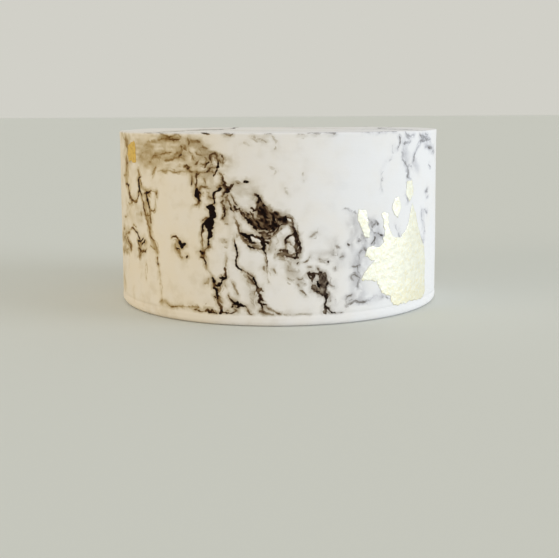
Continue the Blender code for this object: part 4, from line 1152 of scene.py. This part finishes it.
# ---------------------------------------------------------------------------------------------
# The icing's mesh
def profile():
    """The outline as (reach, height) for each row, from the top's middle to the underside's."""
    edge = RADIUS - RIM_ROUNDING
    reach = np.linspace(INNER_RING, edge, TOP_ROWS + 1)
    height = HEIGHT - TOP_DIP * (1 - smooth_step(reach / RADIUS, *TOP_DIP_BAND))
    bend = np.linspace(0, np.pi / 2, RIM_ROWS + 1)[1:]
    reach = np.append(reach, edge + RIM_ROUNDING * np.sin(bend))
    height = np.append(height, HEIGHT - RIM_ROUNDING * (1 - np.cos(bend)))
    down = np.linspace(HEIGHT - RIM_ROUNDING, FOOT_ROUNDING, WALL_ROWS + 1)[1:]
    reach = np.append(reach, np.full(WALL_ROWS, RADIUS))
    height = np.append(height, down)
    bend = np.linspace(0, np.pi / 2, FOOT_ROWS + 1)[1:]
    reach = np.append(reach, RADIUS - FOOT_ROUNDING * (1 - np.cos(bend)))
    height = np.append(height, FOOT_ROUNDING * (1 - np.sin(bend)))
    under = np.linspace(RADIUS - FOOT_ROUNDING, INNER_RING, UNDER_ROWS + 1)[1:]
    return np.append(reach, under), np.append(height, np.zeros(UNDER_ROWS))


def waves(kinds, turn):
    return sum(size * (np.sin(count * turn + phase) - 1) for count, size, phase in kinds)


def wall_free(height):
    """1 where the wall may swell, falling to 0 at the foot and at the rim."""
    return smooth_step(height, *BUMPS_ABOVE_FOOT) * (1 - smooth_step(height, *NO_BUMPS_AT_RIM))


def icing_paint(wall, top, turn, reach, height, on_wall):
    """(line, dark, wash) at each point. The wall's marks run on over the rim and fade there."""
    across = turn * RADIUS
    x, y = reach * np.sin(turn), -reach * np.cos(turn)
    up = np.where(on_wall, height, HEIGHT + RADIUS - reach)
    fade = np.where(on_wall, 1, 1 - smooth_step(up, *OVER_RIM_FADE))
    wall_line = wall.read(wall.line, across, up) * fade
    top_line = np.where(on_wall, 0, top.read(top.line, x, y))
    from_wall = wall_line >= top_line
    dark = np.where(from_wall, wall.read(wall.dark, across, up), top.read(top.dark, x, y))
    top_wash = np.where(on_wall, 0, top.read(top.wash, x, y))
    wash = np.maximum(wall.read(wall.wash, across, up) * fade, top_wash)
    wash = wash * smooth_step(height, *STAIN_OFF_FLOOR)
    # Painted highlight: the stain is cleared from the rim's edge so that it shows as a pale line
    wash = wash * (1 - PAINTED_RIM_HIGHLIGHT * smooth_step(up, *PAINTED_RIM_HIGHLIGHT_BAND))
    return np.maximum(wall_line, top_line), dark, wash


def icing_places(wall, top, turn, reach, height, on_wall):
    """Where each point of the finest grid lies, in mm."""
    facing = turn - math.pi / 2
    x, y = reach * np.sin(turn), -reach * np.cos(turn)
    near_rim = np.clip((height - HEIGHT + RIM_WAVE_REACH) / RIM_WAVE_REACH, 0, 1)
    near_wall = np.clip(reach / RADIUS * 2 - 1, 0, 1)
    crease = CREASE_DEPTH * np.exp(-((height - FOOT_BAND) / CREASE_WIDTH) ** 2)
    wall_swell = wall.read(wall.swell, turn * RADIUS, height) * wall_free(height) - crease
    top_swell = top.read(top.swell, x, y) * (1 - smooth_step(reach, *NO_BUMPS_AT_EDGE))
    moved = reach + waves(WALL_WAVES, facing) * reach / RADIUS + np.where(on_wall, wall_swell, 0)
    lift = waves(RIM_WAVES, facing) * near_rim * near_wall + np.where(on_wall, 0, top_swell)
    return np.stack([moved * np.sin(turn), -moved * np.cos(turn), height + lift], -1)


def grid_normals(places):
    sideways = np.roll(places, -1, 1) - np.roll(places, 1, 1)
    downwards = np.gradient(places, axis=0)
    normals = np.cross(downwards, sideways)
    return normals / np.maximum(np.linalg.norm(normals, axis=-1, keepdims=True), TINY)


def icing_grid(wall, top):
    """The finest grid: each point's place in mm, its paint and its turn."""
    reach, height = profile()
    turn = np.arange(COLUMNS) * (math.tau / COLUMNS) - math.pi
    height, turn = np.meshgrid(height, turn, indexing="ij")
    reach = np.repeat(reach[:, None], COLUMNS, 1)
    on_wall = np.repeat((np.arange(len(reach)) >= TOP_ROWS + RIM_ROWS / 2)[:, None], COLUMNS, 1)
    paints = icing_paint(wall, top, turn, reach, height, on_wall)
    return icing_places(wall, top, turn, reach, height, on_wall), paints, turn


def ink_amount(line, dark):
    return smooth_step(line, *INK_EDGE) * np.clip(INK_GAIN * dark ** INK_POWER, 0, 1)


def cell_limits(rows):
    """How large a cell may be in each row."""
    limits = np.full(rows, WALL_CELL)
    limits[:TOP_ROWS - WALL_CELL] = TOP_CELL
    limits[TOP_ROWS - RIM_CELL:TOP_ROWS + RIM_ROWS + RIM_CELL] = RIM_CELL
    foot = TOP_ROWS + RIM_ROWS + WALL_ROWS
    row_height = (HEIGHT - RIM_ROUNDING - FOOT_ROUNDING) / WALL_ROWS
    crease = foot - round((FOOT_BAND - FOOT_ROUNDING) / row_height)
    limits[crease - CREASE_CELL:crease + CREASE_CELL] = CREASE_CELL
    limits[foot:foot + FOOT_ROWS] = FOOT_CELL
    limits[foot + FOOT_ROWS:] = UNDER_CELL
    return limits


def split_cells(detail, limits):
    """For each cell size, from the largest down, which cells stay whole."""
    rows, cols = detail.shape
    size = LARGEST_CELL
    active = np.ones((rows // size, cols // size), bool)
    kept = []
    while size > 1:
        blocks = detail.reshape(rows // size, size, cols // size, size)
        varies = blocks.max((1, 3)) - blocks.min((1, 3)) > TOLERANCE[size]
        too_large = limits.reshape(rows // size, size).min(1)[:, None] < size
        split = active & (varies | too_large)
        kept.append((size, active & ~split))
        active = split.repeat(2, 0).repeat(2, 1)
        size //= 2
    kept.append((1, active))
    return kept


def first_corners(whole, size):
    """The grid row and column of each whole cell's first corner, as upright lists."""
    rows, cols = np.nonzero(whole)
    return rows[:, None] * size, cols[:, None] * size


def used_points(kept, shape):
    """Which of the grid's points are a corner of a cell."""
    used = np.zeros(shape, bool)
    for size, whole in kept:
        row, col = first_corners(whole, size)
        used[row + (0, size, size, 0), (col + (0, 0, size, size)) % COLUMNS] = True
    return used


def icing_faces(kept, used, number):
    """Each cell as a list of points, among them those that smaller neighbours put on its sides."""
    faces = []
    for size, whole in kept:
        steps, near, far = np.arange(size), np.zeros(size, int), np.full(size, size)
        row, col = first_corners(whole, size)
        rows = row + np.concatenate([steps, far, size - steps, near])
        cols = (col + np.concatenate([near, steps, far, size - steps])) % COLUMNS
        for points, there in zip(number[rows, cols], used[rows, cols]):
            faces.append(points[there].tolist())
    return faces


def end_faces(used, number):
    """Triangles that close the top and the underside round their middles, the last two points."""
    top_ring, under_ring = number[0][used[0]].tolist(), number[-1][used[-1]].tolist()
    middle = int(used.sum())
    faces = [[middle, this, after] for this, after in zip(top_ring, top_ring[1:] + top_ring[:1])]
    for this, after in zip(under_ring, under_ring[1:] + under_ring[:1]):
        faces.append([this, middle + 1, after])
    return faces


def icing_tints_and_warm_light(turns, points):
    """The cream tint and the dye's warmth for each point, both partly the icing's own colour and partly
    painted light from the fill lamp's side. Towards the top's middle the two sides run into each other.
    """
    reach = np.hypot(points[:, 0], points[:, 1]) / RADIUS
    # Painted light: most of the painted warm light comes off the top, and the rim pales into a painted
    # highlight line
    pale = 1 - PALE_TOP_AND_RIM_HIGHLIGHT * smooth_step(points[:, 2], *PALE_TOP_AND_RIM_HIGHLIGHT_BAND)
    across = np.clip(0.5 - 0.5 * points[:, 0] / RADIUS, 0, 1)
    blend = smooth_step(reach, *TOP_BLEND)
    hues = []
    for table in (CREAM_TINT_AND_WARM_LIGHT, DYE_WARMTH_AND_WARM_LIGHT):
        side = np.interp(turns, HUE_TURNS, table)
        hues.append((side * blend + across * (1 - blend)) * pale)
    return np.stack(hues, 1)


def add_colours(mesh, name, values):
    layer = mesh.attributes.new(name, "FLOAT_COLOR", "POINT")
    padded = np.hstack([values, np.ones((len(values), 4 - values.shape[1]))])
    layer.data.foreach_set("color", padded.astype(np.float32).ravel())


def add_piece(name, points, faces):
    """A smooth mesh object of the points, given in mm."""
    mesh = bpy.data.meshes.new(name)
    mesh.from_pydata(points * MM, [], faces)
    mesh.shade_smooth()
    piece = bpy.data.objects.new(name, mesh)
    bpy.context.scene.collection.objects.link(piece)
    return piece


def make_icing(wall, top):
    places, (line, dark, wash), turn = icing_grid(wall, top)
    ink = ink_amount(line, dark) + WASH_SHARE * wash
    kept = split_cells(ink[:-1], cell_limits(len(ink) - 1))
    used = used_points(kept, ink.shape)
    number = np.cumsum(used).reshape(used.shape) - 1
    faces = icing_faces(kept, used, number) + end_faces(used, number)
    points = np.vstack([places[used], (0, 0, HEIGHT - TOP_DIP), (0, 0, 0)])
    icing = add_piece("icing", points, faces)
    normals = np.vstack([grid_normals(places)[used], (0, 0, 1), (0, 0, -1)])
    icing.data.normals_split_custom_set_from_vertices(normals)
    paints = np.stack([line[used], dark[used], wash[used]], 1)
    add_colours(icing.data, "paint", np.vstack([paints, [(0, PLAIN_DARK, 0)] * 2]))
    turns = np.degrees(np.append(turn[used], (0, 0)))
    add_colours(icing.data, "tints_and_warm_light", icing_tints_and_warm_light(turns, points))
    return icing


# ---------------------------------------------------------------------------------------------
# The gold leaf
def torn_outline(outline, draw):
    """The outline walked in short steps, each step's end moved a little at random."""
    corners = np.array([wall_place(*place) for place in outline])
    edge = []
    for start, end in zip(corners, np.roll(corners, -1, 0)):
        length = np.hypot(*(end - start))
        count = max(1, round(length / FLAKE_CELL))
        across = np.array([start[1] - end[1], end[0] - start[0]]) / max(length, TINY)
        swing = np.cumsum(draw.normal(0, TORN_STEP, count + 1))
        swing -= np.linspace(swing[0], swing[-1], count + 1)
        for step in range(count):
            torn = across * swing[step] * TORN_DEPTH
            edge.append(start + (end - start) * step / count + torn)
    return np.array(edge)


def flat_foil(outline, draw):
    """The torn shape laid flat: its points in mm, and its triangles."""
    edge = torn_outline(outline, draw)
    low, high = edge.min(0), edge.max(0)
    across, up = np.meshgrid(np.arange(low[0], high[0], FLAKE_CELL),
                             np.arange(low[1], high[1], FLAKE_CELL))
    fill = np.stack([across.ravel(), up.ravel()], 1)
    fill = fill + draw.uniform(-FLAKE_JITTER, FLAKE_JITTER, (across.size, 2))
    sides = [(i, (i + 1) % len(edge)) for i in range(len(edge))]
    corners = [Vector(point) for point in np.vstack([edge, fill])]
    flat, _, faces, _, _, _ = delaunay_2d_cdt(corners, sides, [list(range(len(edge)))], 1, WELD)
    used = np.unique(np.concatenate([list(face) for face in faces]))
    number = {old: new for new, old in enumerate(used.tolist())}
    faces = [[number[k] for k in face] for face in faces]
    return np.array([tuple(point) for point in flat])[used], faces


def make_flake(name, outline, wall, seed):
    flat, faces = flat_foil(outline, np.random.default_rng(seed))
    turn, height = flat[:, 0] / RADIUS, flat[:, 1]
    crinkle = np.clip(0.5 + CRINKLE_SPREAD * CRINKLES.read(flat[:, 0], height), 0, 1)
    reach = wall_reach(wall, turn, height) + FLAKE_GAP + FLAKE_CRINKLE * crinkle
    points = np.stack([reach * np.sin(turn), -reach * np.cos(turn), height], 1)
    foil = add_piece(name + "_foil", points, faces)
    thicken = foil.modifiers.new("Thickness", "SOLIDIFY")
    thicken.thickness = FLAKE_THICKNESS * MM
    thicken.offset = -1.0
    return foil


def wall_reach(wall, turn, height):
    facing = turn - math.pi / 2
    swell = wall.read(wall.swell, turn * RADIUS, height)
    return RADIUS + waves(WALL_WAVES, facing) + swell * wall_free(height)


# ---------------------------------------------------------------------------------------------
# Materials
def new_material(name):
    material = bpy.data.materials.new(name)
    material.use_nodes = True
    return material, material.node_tree, material.node_tree.nodes["Principled BSDF"]


def add_node(tree, kind, **settings):
    node = tree.nodes.new(kind)
    for key, value in settings.items():
        setattr(node, key, value)
    return node


def connect(tree, source, target):
    """Feeds an input from another node's output, or sets it to a plain value."""
    if isinstance(source, bpy.types.NodeSocket):
        tree.links.new(source, target)
    else:
        target.default_value = source


def maths(tree, operation, first, second, clamp=False):
    node = add_node(tree, "ShaderNodeMath", operation=operation, use_clamp=clamp)
    connect(tree, first, node.inputs[0])
    connect(tree, second, node.inputs[1])
    return node.outputs[0]


def scaled(tree, value, scale, offset=None):
    """The value times the scale, plus the offset if there is one."""
    product = maths(tree, "MULTIPLY", value, scale)
    return product if offset is None else maths(tree, "ADD", product, offset)


def spread(tree, value, low, high, to_low=0.0, to_high=1.0):
    """Spreads low-high smoothly over to_low-to_high."""
    node = add_node(tree, "ShaderNodeMapRange", interpolation_type="SMOOTHSTEP")
    for socket, given in zip(node.inputs, (value, low, high, to_low, to_high)):
        connect(tree, given, socket)
    return node.outputs[0]


def mix(tree, share, first, second, kind="MIX"):
    node = add_node(tree, "ShaderNodeMix", data_type="RGBA", blend_type=kind)
    connect(tree, share, node.inputs[0])
    connect(tree, first, node.inputs[6])
    connect(tree, second, node.inputs[7])
    return node.outputs[2]


def grain(tree, scale, detail, stretch=None):
    """A noise over the object's own coordinates, in metres."""
    place = add_node(tree, "ShaderNodeTexCoord").outputs["Object"]
    if stretch:
        mapping = add_node(tree, "ShaderNodeMapping")
        mapping.inputs["Scale"].default_value = stretch
        tree.links.new(place, mapping.inputs["Vector"])
        place = mapping.outputs[0]
    node = add_node(tree, "ShaderNodeTexNoise")
    node.inputs["Scale"].default_value = scale
    node.inputs["Detail"].default_value = detail
    tree.links.new(place, node.inputs["Vector"])
    return node.outputs["Fac"]


def add_bump(tree, shader, height, strength, distance):
    bump = add_node(tree, "ShaderNodeBump")
    bump.inputs["Strength"].default_value = strength
    bump.inputs["Distance"].default_value = distance
    tree.links.new(height, bump.inputs["Height"])
    tree.links.new(bump.outputs[0], shader.inputs["Normal"])


def ramp(tree, value, stops):
    node = add_node(tree, "ShaderNodeValToRGB")
    elements = node.color_ramp.elements
    while len(elements) < len(stops):
        elements.new(0.5)
    for element, (position, colour) in zip(elements, stops):
        element.position = position
        element.color = colour
    tree.links.new(value, node.inputs[0])
    return node.outputs[0]


def dye(tree, depth, fall):
    """What share of the light is left under a depth of dye, from 0 to DYE_DEEPEST."""
    stops = []
    for stop in DYE_STOPS:
        blend = min(1, stop / DYE_DEEP_FROM)
        rates = [thin + (deep - thin) * blend for thin, deep in zip(*fall)]
        stops.append((stop, (*(math.exp(-rate * stop * DYE_DEEPEST) for rate in rates), 1)))
    return ramp(tree, maths(tree, "DIVIDE", depth, DYE_DEEPEST), stops)


def attribute(tree, name):
    node = add_node(tree, "ShaderNodeAttribute", attribute_name=name)
    split = add_node(tree, "ShaderNodeSeparateColor")
    tree.links.new(node.outputs["Color"], split.inputs[0])
    return split.outputs


def dye_depth(tree, line, dark, wash, warm_dye_and_light, specks):
    """How deep the dye lies: the marks, the soft stain and the faint clouds together."""
    edge = spread(tree, maths(tree, "ADD", line, scaled(tree, specks, EDGE_SPECKS)), *MARK_EDGE)
    black = scaled(tree, maths(tree, "POWER", dark, MARK_POWER), MARK_DEPTH_BLACK)
    strong = maths(tree, "ADD", black, scaled(tree, dark, MARK_DEPTH))
    marks = maths(tree, "MULTIPLY", edge, strong)
    stain = maths(tree, "MULTIPLY", wash, scaled(tree, specks, STAIN_SPECKS, STAIN_DEPTH))
    clouds = spread(tree, grain(tree, *ICING_CLOUDS), *CLOUD_RANGE, 0.0, CLOUD_DEPTH)
    both = maths(tree, "ADD", marks, stain)
    return maths(tree, "ADD", both, maths(tree, "MULTIPLY", clouds, warm_dye_and_light))


def icing_material():
    material, tree, shader = new_material("icing")
    line, dark, wash = attribute(tree, "paint")
    cream_tint_and_light, warm_dye_and_light, _ = attribute(tree, "tints_and_warm_light")
    patches = maths(tree, "SUBTRACT", grain(tree, *ICING_PATCHES), 0.5)
    specks = maths(tree, "SUBTRACT", grain(tree, *ICING_SPECKS), 0.5)
    cream_tint_and_light = maths(tree, "ADD", cream_tint_and_light, scaled(tree, patches, BEIGE_PATCHES), True)
    # The icing turns cream on the fill lamp's side, partly its own tint and partly painted warm light
    base = mix(tree, cream_tint_and_light, WHITE_ICING, CREAM_AND_WARM_LIT_ICING)
    depth = dye_depth(tree, line, dark, wash, warm_dye_and_light, specks)
    # The dye is browner on the fill lamp's side and greyer under the key lamp, partly its own colour and
    # partly painted light
    left = mix(tree, warm_dye_and_light, dye(tree, depth, DYE_GREY_AND_COOL_LIT), dye(tree, depth, DYE_BROWN_AND_WARM_LIT))
    tree.links.new(mix(tree, 1.0, base, left, "MULTIPLY"), shader.inputs["Base Color"])
    rough = scaled(tree, patches, ROUGHNESS_PATCHES, ICING_ROUGHNESS)
    tree.links.new(rough, shader.inputs["Roughness"])
    shader.inputs["Specular IOR Level"].default_value = ICING_SHINE
    add_bump(tree, shader, grain(tree, *ICING_RIPPLES), *ICING_BUMP)
    return material


def gold_material(name, plain, deep, metal):
    """Gold leaf with deeper patches, which are more and deeper towards the foot."""
    material, tree, shader = new_material(name)
    place = add_node(tree, "ShaderNodeTexCoord").outputs["Object"]
    height = add_node(tree, "ShaderNodeSeparateXYZ")
    tree.links.new(place, height.inputs[0])
    lower = spread(tree, height.outputs["Z"], *GOLD_FOOT, GOLD_FOOT_PATCHES, 0.0)
    patches = maths(tree, "ADD", grain(tree, *GOLD_PATCHES), lower)
    colour = mix(tree, spread(tree, patches, *GOLD_PATCH_RANGE), plain, deep)
    tree.links.new(colour, shader.inputs["Base Color"])
    shader.inputs["Metallic"].default_value = metal
    sheen = spread(tree, grain(tree, *GOLD_SHEEN), *GOLD_SHEEN_RANGE, *GOLD_ROUGHNESS)
    tree.links.new(sheen, shader.inputs["Roughness"])
    add_bump(tree, shader, grain(tree, *GOLD_WRINKLES), *GOLD_BUMP)
    return material


def floor_material():
    material, _, shader = new_material("floor")
    shader.inputs["Base Color"].default_value = FLOOR_COLOUR
    shader.inputs["Roughness"].default_value = FLOOR_ROUGHNESS
    shader.inputs["Specular IOR Level"].default_value = FLOOR_SHINE
    return material


# ---------------------------------------------------------------------------------------------
# Floor, lights and camera
def make_floor():
    half = FLOOR_SIZE / 2
    corners = [(-half, -half, 0), (half, -half, 0), (half, half, 0), (-half, half, 0)]
    mesh = bpy.data.meshes.new("floor")
    mesh.from_pydata(corners, [], [(0, 1, 2, 3)])
    floor = bpy.data.objects.new("floor", mesh)
    bpy.context.scene.collection.objects.link(floor)
    mesh.materials.append(floor_material())


def make_light(name, turn, elevation, width, strength, colour):
    light = bpy.data.lights.new(name, "SUN")
    light.angle = math.radians(width)
    light.energy = strength
    light.color = colour
    lamp = bpy.data.objects.new(name, light)
    bpy.context.scene.collection.objects.link(lamp)
    turn, elevation = math.radians(turn), math.radians(elevation)
    away = Vector((math.sin(turn) * math.cos(elevation), -math.cos(turn) * math.cos(elevation),
                   math.sin(elevation)))
    lamp.rotation_euler = away.to_track_quat("Z", "Y").to_euler()


def make_world():
    world = bpy.data.worlds.new("room")
    world.use_nodes = True
    world.node_tree.nodes["Background"].inputs["Color"].default_value = WORLD_COLOUR
    bpy.context.scene.world = world


def make_camera():
    lens = bpy.data.cameras.new("camera")
    lens.lens = CAMERA_LENS
    lens.sensor_width = CAMERA_SENSOR
    lens.sensor_fit = "HORIZONTAL"
    lens.shift_x, lens.shift_y = CAMERA_SHIFT
    camera = bpy.data.objects.new("camera", lens)
    bpy.context.scene.collection.objects.link(camera)
    pitch = Matrix.Rotation(math.pi / 2 - CAMERA_PITCH, 4, "X")
    roll = Matrix.Rotation(CAMERA_ROLL, 4, "Z")
    camera.matrix_world = Matrix.Translation(CAMERA_PLACE) @ (pitch @ roll)
    bpy.context.scene.camera = camera


def main():
    wall, top = paint_wall(), paint_top()
    icing = make_icing(wall, top)
    icing.data.materials.append(icing_material())
    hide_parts("iced_cake")
    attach(icing, "root")
    # Two looks of the same gold leaf: one painted pale as a highlight under the key lamp, one painted
    # deep as in shade
    pale = gold_material("gold_leaf_key_lit_pale", *KEY_LIT_PALE_GOLD, KEY_LIT_PALE_GOLD_METAL)
    deep = gold_material("gold_leaf_shaded_deep", *SHADED_DEEP_GOLD, SHADED_DEEP_GOLD_METAL)
    for number, (name, outline) in enumerate(FLAKES.items()):
        foil = make_flake(name, outline, wall, FLAKE_SEED + number)
        foil.data.materials.append(deep if name in SHADED_DEEP_FLAKES else pale)
        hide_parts(name)
        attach(foil, "root")
    make_floor()
    for name, settings in LIGHTS.items():
        make_light(name, *settings)
    make_world()
    make_camera()
    bpy.context.scene.view_settings.view_transform = "Standard"


main()
